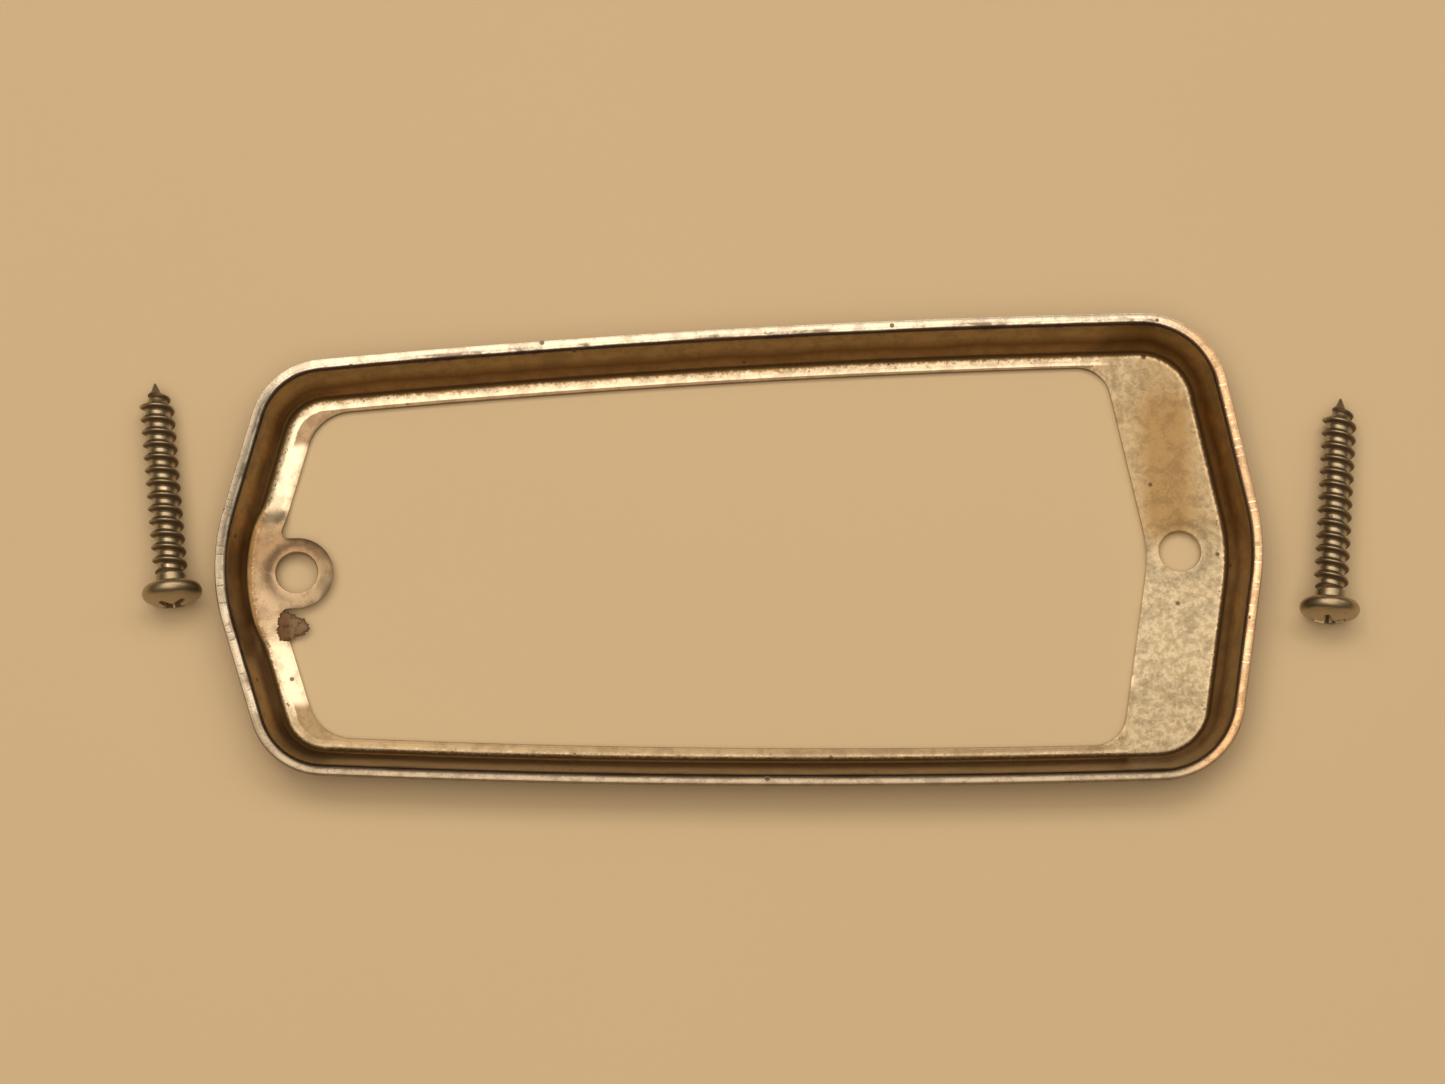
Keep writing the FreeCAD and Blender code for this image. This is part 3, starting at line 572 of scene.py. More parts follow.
        on_wall = bench.times(bench.ease(inset, 0.9, 1.3), bench.ease(inset, 3.6, 4.1, 1.0, 0.0))
        dull = bench.most(cover, bench.times(dirt, 0.8))
        bench.feed(shader.inputs["Metallic"], bench.ease(dull, 0.0, 1.0, 1.0, 0.30))
        rough = bench.most(bench.ease(dull, 0.0, 1.0, 0.22, 0.50), bench.ease(on_wall, 0.0, 1.0, 0.22, 0.30))
        on_strip = bench.times(bench.ease(moved, 3.8, 4.1), 0.30)
        rough = bench.most(rough, on_strip, bench.times(tab, 0.46))
        rough = bench.sum("MULTIPLY_ADD", marks.outputs["Marks"], 0.06, rough)
        bench.feed(shader.inputs["Roughness"], rough)
        relief = bench.sum("MULTIPLY_ADD", pits.outputs["Height"], 0.9,
                           bench.times(bench.noise(place, 1500.0, 3.0, 0.6), 0.10))
        relief = bench.sum("MULTIPLY_ADD", cover, 0.25, relief)
        relief = bench.sum("MULTIPLY_ADD", ticks, -0.25, relief)
        relief = bench.sum("MULTIPLY_ADD", bench.noise(run, 0.5, 3.0), 0.35, relief)
        bench.relief(shader, 0.5, 0.00003, relief)
        return material


@dataclass(frozen=True)
class PolishedPlating:
    """The polished front of the sheet: bright plating with wipe marks and a few pits."""

    bright: Colour = (0.86, 0.85, 0.82)
    worn: Colour = (0.55, 0.49, 0.40)
    effects: Effects = field(default_factory=Effects, compare=False)

    def make(self) -> bpy.types.Material:
        """Build the material.

        Returns:
            The finished material.
        """
        material, bench, shader = open_material("plating_front", Metallic=1.0)
        place = bench.place()
        film = self.effects.use(bench, self.effects.tarnish, Place=place, Cloud_Scale=160.0,
                                Grain_Scale=1900.0, Cover=0.40, Softness=0.2)
        pits = self.effects.use(bench, self.effects.pits, Place=place, Scale=820.0, Share=0.06, Radius=0.25)
        marks = self.effects.use(bench, self.effects.marks, Place=place, Scale=0.8, Sharpness=0.55)
        worn = bench.most(bench.times(film.outputs["Film"], 0.4), pits.outputs["Pits"])
        bench.feed(shader.inputs["Base Color"], bench.mix(worn, self.bright, self.worn))
        rough = bench.sum("MULTIPLY_ADD", marks.outputs["Marks"], 0.14, bench.ease(worn, 0.0, 1.0, 0.09, 0.4))
        bench.feed(shader.inputs["Roughness"], rough)
        relief = bench.sum("MULTIPLY_ADD", marks.outputs["Marks"], -0.2, pits.outputs["Height"])
        bench.relief(shader, 0.4, 0.00002, relief)
        return material


@dataclass(frozen=True)
class CutSteel:
    """The bare cut edge of the sheet, bright where it is scuffed and brown where it isn't."""

    bright: Colour = (0.86, 0.82, 0.74)
    rust: Colour = (0.30, 0.17, 0.08)
    effects: Effects = field(default_factory=Effects, compare=False)

    def make(self) -> bpy.types.Material:
        """Build the material.

        Returns:
            The finished material.
        """
        material, bench, shader = open_material("cut_edge", Metallic=1.0)
        place = bench.place()
        rust = self.effects.use(bench, self.effects.tarnish, Place=place, Cloud_Scale=420.0,
                                Grain_Scale=2600.0, Cover=0.47, Softness=0.16)
        inner = bench.ease(bench.named("inset"), 1.0, 3.0)
        grain = bench.ease(rust.outputs["Grain"], 0.3, 0.6, 0.62, 0.95)
        share = bench.most(bench.times(rust.outputs["Film"], 0.55), bench.times(inner, grain))
        bench.feed(shader.inputs["Base Color"], bench.mix(share, self.bright, self.rust))
        bench.feed(shader.inputs["Roughness"], bench.ease(share, 0.0, 1.0, 0.26, 0.7))
        shear = bench.noise(bench.stretched(place, (4200.0, 4200.0, 500.0)), 1.0, 2.0)
        bench.relief(shader, 0.35, 0.00002, shear)
        return material


@dataclass(frozen=True)
class BronzedSteel:
    """The screws' dull plating, with a painted glint on the thread's core, painted shade on the thread's
    sides, and brown tarnish film and pits.
    """

    face: Colour = (0.70, 0.60, 0.44)
    # painted glint colour on the thread's core
    rubbed: Colour = (0.88, 0.80, 0.65)
    # one dark colour for painted shade on the thread's sides and for tarnish film, pits and the point
    root: Colour = (0.075, 0.042, 0.018)
    effects: Effects = field(default_factory=Effects, compare=False)

    def make(self) -> bpy.types.Material:
        """Build the material.

        Returns:
            The finished material.
        """
        material, bench, shader = open_material("screw_steel", Metallic=1.0)
        place = bench.place()
        groove, axial = bench.named("groove"), bench.named("axial")
        film = self.effects.use(bench, self.effects.tarnish, Place=place, Cloud_Scale=520.0,
                                Grain_Scale=2600.0, Cover=0.55, Softness=0.25)
        pits = self.effects.use(bench, self.effects.pits, Place=place, Scale=1500.0, Share=0.10, Radius=0.3)
        at_tip = bench.ease(axial, 20.5, 24.0, 0.0, 0.75)
        # painted shade on the thread's sides, between crest and core
        off_crest = bench.ease(groove, 0.0, 0.22, 0.45, 1.0)
        off_core = bench.ease(groove, 0.60, 0.97, 1.0, 0.0)
        flank = bench.times(off_crest, off_core)
        brown = bench.most(bench.times(flank, bench.ease(axial, 0.5, 1.2, 0.0, 0.92)), at_tip)
        film_share = bench.times(film.outputs["Film"], 0.45)
        brown = bench.most(brown, film_share, bench.times(pits.outputs["Pits"], 0.8))
        # painted glint in patches along the thread's core
        patches = bench.ease(bench.noise(place, 700.0, 3.0), 0.36, 0.62)
        core_glint_share = bench.times(bench.ease(groove, 0.90, 1.0), patches)
        colour = bench.mix(bench.times(core_glint_share, 0.7), self.face, self.rubbed)
        colour = bench.mix(brown, colour, self.root)
        bench.feed(shader.inputs["Base Color"], colour)
        bench.feed(shader.inputs["Roughness"], bench.ease(brown, 0.0, 1.0, 0.27, 0.52))
        bench.feed(shader.inputs["Metallic"], bench.ease(brown, 0.3, 1.0, 1.0, 0.55))
        relief = bench.sum("MULTIPLY_ADD", pits.outputs["Height"], 0.8, bench.noise(place, 3200.0, 3.0, 0.6))
        bench.relief(shader, 0.35, 0.00003, relief)
        return material


@dataclass(frozen=True)
class OldSealer:
    """Dried brown sealer with a dark crumbled edge."""

    middle: Colour = (0.30, 0.215, 0.13)
    orange: Colour = (0.20, 0.105, 0.048)
    dark: Colour = (0.085, 0.042, 0.018)

    def make(self) -> bpy.types.Material:
        """Build the material.

        Returns:
            The finished material.
        """
        material, bench, shader = open_material("old_sealer")
        shader.inputs["Specular IOR Level"].default_value = 0.35
        place = bench.place()
        crumbs = bench.noise(place, 1700.0, 5.0, 0.65)
        rim = bench.named("rim")
        dark_rim = bench.times(rim, bench.ease(crumbs, 0.3, 0.55))
        share = bench.most(dark_rim, bench.times(bench.ease(crumbs, 0.50, 0.66), 0.7))
        x = bench.add("ShaderNodeSeparateXYZ", {0: place}).outputs[0]
        body = bench.mix(bench.ease(x, -0.0530, -0.0522, 0.85, 0.0), self.middle, self.orange)
        bench.feed(shader.inputs["Base Color"], bench.mix(share, body, self.dark))
        bench.feed(shader.inputs["Roughness"], bench.ease(crumbs, 0.3, 0.7, 0.55, 0.9))
        bench.relief(shader, 0.8, 0.0001, crumbs)
        return material


# ---------------------------------------------------------------- flat outlines


@dataclass(frozen=True)
class BandOutline:
    """The outline of a slack band round six circles: one at each end and one at each corner.

    Each circle is its centre's x and y and its radius. The lower half mirrors the upper one.
    """

    right_end: Circle
    right_corner: Circle
    left_corner: Circle
    left_end: Circle
    rail_radius: float
    spacing: float = 0.9
    fine_angle: float = 4.0

    @staticmethod
    def touch_angle(first: Circle, second: Circle) -> float:
        """The outward angle of the straight line that touches two circles, walked left to right."""
        dx, dy = second[0] - first[0], second[1] - first[1]
        return math.atan2(dy, dx) + math.acos((first[2] - second[2]) / math.hypot(dx, dy))

    def rail_centre(self) -> tuple[float, float]:
        """The centre of the bowed rail, which touches both corner circles."""
        (x1, y1, r1), (x2, y2, r2) = self.left_corner, self.right_corner
        dx, dy = x2 - x1, y2 - y1
        span = math.hypot(dx, dy)
        near, far = self.rail_radius - r1, self.rail_radius - r2
        along = (near ** 2 - far ** 2 + span ** 2) / (2 * span)
        down = math.sqrt(near ** 2 - along ** 2)
        ux, uy = dx / span, dy / span
        return x1 + ux * along + uy * down, y1 + uy * along - ux * down

    def upper_arcs(self) -> list[tuple[Circle, float, float]]:
        """The upper half's circles with the angles where each begins and ends, from the right end."""
        rail = (*self.rail_centre(), self.rail_radius)
        right_rail = math.atan2(self.right_corner[1] - rail[1], self.right_corner[0] - rail[0])
        left_rail = math.atan2(self.left_corner[1] - rail[1], self.left_corner[0] - rail[0])
        right_line = self.touch_angle(self.right_corner, self.right_end)
        left_line = self.touch_angle(self.left_end, self.left_corner)
        return [
            (self.right_end, 0.0, right_line), (self.right_corner, right_line, right_rail),
            (rail, right_rail, left_rail), (self.left_corner, left_rail, left_line),
            (self.left_end, left_line, math.pi),
        ]

    def points(self) -> np.ndarray:
        """The closed outline, walked anticlockwise from the right end.

        Returns:
            An array of x and y, without the first point repeated.
        """
        upper: list[tuple[float, float]] = []
        for (cx, cy, radius), start, stop in self.upper_arcs():
            widest = min(self.spacing / radius, math.radians(self.fine_angle))
            count = max(2, math.ceil((stop - start) / widest) + 1)
            angles = np.linspace(start, stop, count)
            here = [(cx + radius * math.cos(a), cy + radius * math.sin(a)) for a in angles]
            if upper:
                upper += self.between(upper[-1], here[0])
            upper += here
        kept = [upper[0]] + [b for a, b in zip(upper, upper[1:]) if math.dist(a, b) > self.spacing / 100]
        lower = [(x, -y) for x, y in reversed(kept[1:-1])]
        return np.array(kept + lower)

    def between(self, first: tuple[float, float], last: tuple[float, float]) -> list[tuple[float, float]]:
        """Evenly spaced points strictly between two others."""
        count = int(math.dist(first, last) / self.spacing)
        shares = np.linspace(0, 1, count + 2)[1:-1]
        return [(first[0] + (last[0] - first[0]) * s, first[1] + (last[1] - first[1]) * s) for s in shares]


def inside(points: np.ndarray, loop: np.ndarray) -> np.ndarray:
    """Whether each point lies inside a closed loop.

    Args:
        points: an array of x and y.
        loop: the loop's corners in order.

    Returns:
        An array of truth values.
    """
    result = np.zeros(len(points), bool)
    for (x1, y1), (x2, y2) in zip(loop, np.roll(loop, -1, axis=0)):
        crosses = (y1 > points[:, 1]) != (y2 > points[:, 1])
        if y1 != y2:
            result ^= crosses & (points[:, 0] < (x2 - x1) * (points[:, 1] - y1) / (y2 - y1) + x1)
    return result


def loop_distance(points: np.ndarray, loop: np.ndarray) -> np.ndarray:
    """Each point's distance to a closed loop of straight edges."""
    best = np.full(len(points), np.inf)
    for start, end in zip(loop, np.roll(loop, -1, axis=0)):
        run = end - start
        share = np.clip(((points - start) @ run) / (run @ run), 0, 1)
        best = np.minimum(best, np.linalg.norm(points - start - share[:, None] * run, axis=1))
    return best


def fill(outer: np.ndarray, holes: list[np.ndarray], spacing: float) -> tuple[np.ndarray, list[list[int]]]:
    """Fill a flat region with even triangles.

    Args:
        outer: the region's outline. Its points come first in the result, in order.
        holes: closed outlines inside it.
        spacing: the distance between the inner points.

    Returns:
        The points and the triangles, facing up.
    """
    loops = [outer, *holes]
    low, high = outer.min(0), outer.max(0)
    rows = np.arange(low[1], high[1], spacing * math.sqrt(3) / 2)
    grid = np.array([(x + spacing / 2 * (i % 2), y) for i, y in enumerate(rows)
                     for x in np.arange(low[0], high[0], spacing)])
    keep = inside(grid, outer)
    for hole in holes:
        keep &= ~inside(grid, hole)
    for loop in loops:
        keep[keep] = loop_distance(grid[keep], loop) > spacing * 0.55
    edges, start = [], 0
    for loop in loops:
        edges += [(start + i, start + (i + 1) % len(loop)) for i in range(len(loop))]
        start += len(loop)
    points = np.vstack([*loops, grid[keep]])
    found = delaunay_2d_cdt([Vector(p) for p in points], edges, [], 0, 1e-7)
    spots = np.array([tuple(p) for p in found[0]])
    faces = [list(face) for face in found[2]]
    middles = np.array([spots[face].mean(0) for face in faces])
    wanted = inside(middles, outer)
    for hole in holes:
        wanted &= ~inside(middles, hole)
    upward = []
    for face, good in zip(faces, wanted):
        if good:
            a, b, c = spots[face]
            area = (b[0] - a[0]) * (c[1] - a[1]) - (b[1] - a[1]) * (c[0] - a[0])
            upward.append(face if area > 0 else face[::-1])
    return spots, upward


def round_corners(corners: list[tuple[float, float]], radii: list[float], count: int = 4) -> np.ndarray:
    """Round each corner of a polygon.

    Args:
        corners: the polygon's corners, anticlockwise.
        radii: the rounding at each corner.
        count: how many points each rounding has.

    Returns:
        The rounded outline.
    """
    places = np.array(corners)
    result = []
    for before, here, after, radius in zip(np.roll(places, 1, 0), places, np.roll(places, -1, 0), radii):
        back, ahead = before - here, after - here
        back, ahead = back / np.linalg.norm(back), ahead / np.linalg.norm(ahead)
        for share in np.linspace(0, 1, count):
            bow = (1 - share) ** 2 * back * radius + share ** 2 * ahead * radius
            result.append(here + bow)
    return np.array(result)


# ---------------------------------------------------------------- mesh helpers


def mesh_of(modified: bpy.types.Object) -> bpy.types.Mesh:
    """The plain mesh that an object's modifiers make, in a mesh of its own."""
    bpy.context.view_layer.update()
    depsgraph = bpy.context.evaluated_depsgraph_get()
    return bpy.data.meshes.new_from_object(modified.evaluated_get(depsgraph))


def helper_object(name: str, mesh: bpy.types.Mesh) -> bpy.types.Object:
    """An object in the scene for a mesh."""
    item = bpy.data.objects.new(name, mesh)
    bpy.context.scene.collection.objects.link(item)
    return item


def grown(name: str, seed: bpy.types.Mesh, tree: bpy.types.NodeTree,
          values: dict[str, object]) -> bpy.types.Mesh:
    """Run a Geometry Nodes tree on a mesh and keep its result.

    Args:
        name: the helper object's name.
        seed: the mesh that the tree starts from.
        tree: the Geometry Nodes tree.
        values: each input's value, by the input's name.

    Returns:
        The result as a plain mesh.
    """
    item = helper_object(name, seed)
    modifier = item.modifiers.new(name, "NODES")
    modifier.node_group = tree
    for socket in tree.interface.items_tree:
        if socket.item_type == "SOCKET" and socket.in_out == "INPUT" and socket.name in values:
            modifier[socket.identifier] = values[socket.name]
    result = mesh_of(item)
    item.modifiers.clear()
    bpy.data.objects.remove(item)
    return result


def store(mesh: bpy.types.Mesh, name: str, values: np.ndarray) -> None:
    """Store a number on each point of a mesh."""
    layer = mesh.attributes.get(name) or mesh.attributes.new(name, "FLOAT", "POINT")
    layer.data.foreach_set("value", np.asarray(values, np.float32))


def spots_of(mesh: bpy.types.Mesh) -> np.ndarray:
    """The points of a mesh as an array."""
    flat = np.empty(len(mesh.vertices) * 3, np.float32)
    mesh.vertices.foreach_get("co", flat)
    return flat.reshape(-1, 3).astype(float)


def place_spots(mesh: bpy.types.Mesh, spots: np.ndarray) -> None:
    """Move the points of a mesh."""
    mesh.vertices.foreach_set("co", spots.astype(np.float32).ravel())
    mesh.update()


def smooth(mesh: bpy.types.Mesh, sharp_angle: float) -> None:
    """Shade a mesh smoothly, with a hard line along edges sharper than an angle in degrees."""
    mesh.polygons.foreach_set("use_smooth", np.ones(len(mesh.polygons), bool))
    mesh.set_sharp_from_angle(angle=math.radians(sharp_angle))


def finished(name: str, mesh: bpy.types.Mesh, body: str,
             materials: list[bpy.types.Material]) -> bpy.types.Object:
    """Put a finished mesh in the scene and let it ride on its body.

    Args:
        name: the piece's name.
        mesh: its mesh, in metres.
        body: the body it moves with.
        materials: its materials, by slot.

    Returns:
        The piece.
    """
    mesh.materials.clear()
    for material in materials:
        mesh.materials.append(material)
    item = helper_object(name, mesh)
    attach(item, body)
    log.info("%s: %d faces on %s", name, len(mesh.polygons), body)
    return item


# ---------------------------------------------------------------- bezel


@dataclass(frozen=True)
class PressedSection:
    """The pressed section: a sloping lip, a leaning wall and the start of the floor."""

    sheet: float = 0.7
    depth: float = 5.9
    lip_slope: float = 15.0
    wall_lean: float = 25.4
    lip_bend: float = 1.0
    foot_bend: float = 1.5
    foot_inset: float = 4.45
    floor_edge: float = 4.75

    def corners(self) -> list[tuple[float, float, float]]:
        """The section's four corners before its bends are rounded.

        Returns:
            Each corner as the distance outwards from the lip's edge and the height.
        """
        slope, lean = math.radians(self.lip_slope), math.radians(self.wall_lean)
        foot_x = self.foot_inset - self.foot_bend * math.tan((math.pi / 2 - lean) / 2)
        # the lip's line and the wall's line meet at the top of the wall
        rise = self.depth - self.sheet
        wall_out = math.tan(lean)
        across = (foot_x - rise * wall_out) / (1 - math.tan(slope) * wall_out)
        top = (-across, self.depth - across * math.tan(slope), 0.0)
        return [(0.0, self.depth, 0.0), top, (-foot_x, self.sheet, 0.0), (-self.floor_edge, self.sheet, 0.0)]

    def sweep_tree(self) -> bpy.types.NodeTree:
        """The tree that rounds the section and sweeps it round an outline.

        Returns:
            A Geometry Nodes tree.
        """
        inputs = {"Outline": "NodeSocketGeometry", "Lip Edge": (0.0, 0.0, 0.0), "Lip Corner": (0.0, 0.0, 0.0),
                  "Foot Corner": (0.0, 0.0, 0.0), "Floor Edge": (0.0, 0.0, 0.0), "Lip Bend": 1.0,
                  "Foot Bend": 1.0, "Bend Steps": 8, "Finish": "NodeSocketMaterial"}
        bench, given, out = open_group("Pressed Rim", "GeometryNodeTree", inputs,
                                       {"Rim": "NodeSocketGeometry"})
        corners = bench.add("GeometryNodeMeshLine", {"Count": 4})
        index = bench.add("GeometryNodeInputIndex").outputs[0]
        spot = bench.add("GeometryNodeIndexSwitch", data_type="VECTOR")
        spot.index_switch_items.new()
        spot.index_switch_items.new()
        bench.feed(spot.inputs["Index"], index)
        for i, name in enumerate(("Lip Edge", "Lip Corner", "Foot Corner", "Floor Edge")):
            bench.feed(spot.inputs[str(i)], given.outputs[name])
        # the sweep turns a profile's Y downwards, so heights are handed over as depths
        upright_spot = bench.vector("MULTIPLY", spot.outputs[0], (1.0, -1.0, 1.0))
        placed = bench.add("GeometryNodeSetPosition", {"Geometry": corners.outputs[0],
                                                       "Position": upright_spot})
        line = bench.add("GeometryNodeMeshToCurve", {0: placed.outputs[0]})
        at_foot = bench.add("FunctionNodeCompare", {2: index, 3: 2}, data_type="INT", operation="EQUAL")
        bend = bench.add("GeometryNodeSwitch", {0: at_foot.outputs[0], 1: given.outputs["Lip Bend"],
                                                2: given.outputs["Foot Bend"]}, input_type="FLOAT")
        rounded = bench.add("GeometryNodeFilletCurve", {"Curve": line.outputs[0], "Radius": bend.outputs[0],
                                                        "Count": given.outputs["Bend Steps"]}, mode="POLY")
        path = bench.add("GeometryNodeMeshToCurve", {0: given.outputs["Outline"]})
        upright = bench.add("GeometryNodeSetCurveNormal", {0: path.outputs[0]}, mode="Z_UP")
        inset = bench.add("GeometryNodeInputPosition").outputs[0]
        depth_in = bench.times(bench.add("ShaderNodeSeparateXYZ", {0: inset}).outputs[0], -1.0)
        measured = bench.stored(rounded.outputs[0], "inset", depth_in)
        swept = bench.add("GeometryNodeCurveToMesh", {0: upright.outputs[0], 1: measured.outputs[0]})
        real = bench.add("GeometryNodeRealizeInstances", {0: swept.outputs[0]})
        dressed = bench.add("GeometryNodeSetMaterial", {"Geometry": real.outputs[0],
                                                        "Material": given.outputs["Finish"]})
        bench.feed(out.inputs[0], dressed.outputs[0])
        return bench.tree


@dataclass
class TrimBezel:
    """The bezel: one pressed sheet with a lip, wall, floor, window, tab, dimples and holes."""

    section: PressedSection = field(default_factory=PressedSection)
    rim: BandOutline = BandOutline((35.15, 0, 25.7), (47.95, 17.9, 9.9), (-48.15, 16.0, 8.7),
                                   (-36.55, 0, 24.3), 1296.0)
    window: BandOutline = BandOutline((28.85, 0, 19.0), (40.65, 18.8, 4.0), (-45.25, 14.3, 5.4),
                                      (-36.55, 0, 17.8), 1291.0)
    hole_x: float = 51.8
    hole_radius: float = 2.5
    dimple_radius: float = 4.4
    dimple_rise: float = 0.45
    tab_radius: float = 4.25
    tab_rise: float = 0.7
    neck_fillet: float = 0.7
    ramp_start: float = 5.2
    ramp_end: float = 8.6
    edge_round: float = 0.07
    floor_spacing: float = 0.62
    hole_steps: int = 64
    sharp_angle: float = 38.0

    def hole(self, end: End) -> np.ndarray:
        """The outline of one screw hole."""
        angles = np.linspace(0, TURN, self.hole_steps, endpoint=False)
        return np.c_[end.value * self.hole_x + self.hole_radius * np.cos(angles),
                     self.hole_radius * np.sin(angles)]

    def tab_half(self) -> list[tuple[float, float]]:
        """The upper half of the tab's outline: its neck fillet and then its nose, to the axis."""
        cx, _, radius = self.window.left_end
        across = self.tab_radius + self.neck_fillet
        neck_x = cx - math.sqrt((radius - self.neck_fillet) ** 2 - across ** 2)
        begin = math.atan2(across, neck_x - cx)
        points = [(neck_x + self.neck_fillet * math.cos(a), across + self.neck_fillet * math.sin(a))
                  for a in np.linspace(begin, 1.5 * math.pi, 9)]
        nose = np.linspace(math.pi / 2, 0, 30)
        return points + [(self.tab_radius * math.cos(a) - self.hole_x,
                          self.tab_radius * math.sin(a)) for a in nose]

    def window_loop(self) -> np.ndarray:
        """The window's outline, with the tab standing into it."""
        band = self.window.points()
        half = self.tab_half()
        reach = half[0][1] + self.neck_fillet / 2
        near_tab = (band[:, 0] < 0) & (np.abs(band[:, 1]) < reach)
        first = int(np.argmax(near_tab))
        last = len(band) - int(np.argmax(near_tab[::-1]))
        tab = half + [(x, -y) for x, y in reversed(half[:-1])]
        return np.vstack([band[:first], np.array(tab), band[last:]])

    def ramp(self, spots: np.ndarray) -> np.ndarray:
        """How far the floor has risen to the tab's height, from 0 to 1."""
        share = np.clip((self.ramp_end - np.abs(spots[:, 1])) / (self.ramp_end - self.ramp_start), 0, 1)
        return np.where(spots[:, 0] < 0, share * share * (3 - 2 * share), 0)

    def floor_height(self, spots: np.ndarray) -> np.ndarray:
        """The height of the floor's upper side, with the raised seat and the dimples."""
        height = self.section.sheet + self.tab_rise * self.ramp(spots)
        for end in End:
            away = np.hypot(spots[:, 0] - end.value * self.hole_x, spots[:, 1])
            share = np.clip((self.dimple_radius - away) / (self.dimple_radius - self.hole_radius), 0, 1)
            height = height + self.dimple_rise * share * share * (3 - 2 * share)
        return height

    def swept_rim(self) -> bpy.types.Mesh:
        """The lip and the wall, swept round the outline by the section's tree."""
        loop = self.rim.points()
        seed = bpy.data.meshes.new("rim_path")
        count = len(loop)
        seed.from_pydata([(x, y, 0) for x, y in loop], [(i, (i + 1) % count) for i in range(count)], [])
        edge, top, foot, floor = self.section.corners()
        values = {"Lip Edge": edge, "Lip Corner": top, "Foot Corner": foot, "Floor Edge": floor,
                  "Lip Bend": self.section.lip_bend, "Foot Bend": self.section.foot_bend, "Bend Steps": 8}
        return grown("rim_sweep", seed, self.section.sweep_tree(), values)

    def sheet_surface(self) -> bpy.types.Mesh:
        """The whole upper side of the sheet, before it has a thickness.

        Returns:
            A mesh in millimetres with the inset and the length along the rim stored on it.
        """
        rim = self.swept_rim()
        spots = spots_of(rim)
        loop = self.rim.points()
        across = len(spots) // len(loop)
        inset = np.empty(len(spots), np.float32)
        rim.attributes["inset"].data.foreach_get("value", inset)
        steps = np.linalg.norm(np.roll(loop, -1, 0) - loop, axis=1)
        along = np.repeat(np.concatenate([[0.0], np.cumsum(steps[:-1])]), across)
        ring = np.arange(len(loop)) * across + across - 1
        flat, faces = fill(spots[ring, :2], [self.window_loop(), *(self.hole(end) for end in End)],
                           self.floor_spacing)

        rise = self.tab_rise * self.ramp(spots)
        lowest = self.section.sheet + rise
        blend = np.clip(1 - np.abs(spots[:, 2] - lowest) / (rise + 1e-9), 0, 1) ** 2 * rise / 4
        spots[:, 2] = np.maximum(spots[:, 2], lowest) + blend
        floor = np.c_[flat, self.floor_height(flat)]
        floor[:len(ring)] = spots[ring]
        offset = len(spots)
        number = {i: int(ring[i]) for i in range(len(ring))}
        joined = [[number.get(i, offset + i) for i in face] for face in faces]
        strips = [list(p.vertices) for p in rim.polygons]
        mesh = bpy.data.meshes.new("bezel_sheet")
        mesh.from_pydata(np.vstack([spots, floor]).tolist(), [], strips + joined)
        store(mesh, "inset", np.concatenate([inset, np.full(len(floor), self.section.floor_edge + 1)]))
        store(mesh, "along", np.concatenate([along, np.zeros(len(floor))]))
        work = bmesh.new()
        work.from_mesh(mesh)
        bmesh.ops.delete(work, geom=[v for v in work.verts if not v.link_faces], context="VERTS")
        bmesh.ops.remove_doubles(work, verts=work.verts, dist=1e-4)
        bmesh.ops.recalc_face_normals(work, faces=work.faces)
        if sum(f.normal.z * f.calc_area() for f in work.faces) < 0:
            bmesh.ops.reverse_faces(work, faces=work.faces)
        work.to_mesh(mesh)
        work.free()
        return mesh

    def build(self) -> bpy.types.Mesh:
        """Give the sheet its thickness and round its cut edges.

        Returns:
            The bezel's mesh, in metres.
        """
        sheet = helper_object("bezel_work", self.sheet_surface())
        for face in Face:
            sheet.data.materials.append(bpy.data.materials.new(face.name))
        wall = sheet.modifiers.new("wall", "SOLIDIFY")
        wall.thickness = self.section.sheet
        wall.offset = -1.0
        wall.use_even_offset = True
        wall.material_offset = Face.FRONT.value
        wall.material_offset_rim = Face.CUT.value
        edge = sheet.modifiers.new("edge", "BEVEL")
        edge.width = self.edge_round
        edge.segments = 2
        edge.limit_method = "ANGLE"
        edge.angle_limit = math.radians(50)
        edge.use_clamp_overlap = True
        edge.material = Face.CUT.value
        mesh = mesh_of(sheet)
        bpy.data.objects.remove(sheet)
        mesh.transform(Matrix.Scale(MM, 4))
        smooth(mesh, self.sharp_angle)
        return mesh

    def dress(self, mesh: bpy.types.Mesh, effects: Effects) -> bpy.types.Object:
        """Dress the sheet's back, front and cut edges, and stand it for its CAD node."""
        finishes = [StainedPlating(effects=effects), PolishedPlating(effects=effects),
                    CutSteel(effects=effects)]
        piece = finished("bezel_pressing", mesh, "bezel", [finish.make() for finish in finishes])
        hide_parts("bezel")
        return piece


# ---------------------------------------------------------------- scrap of sealer


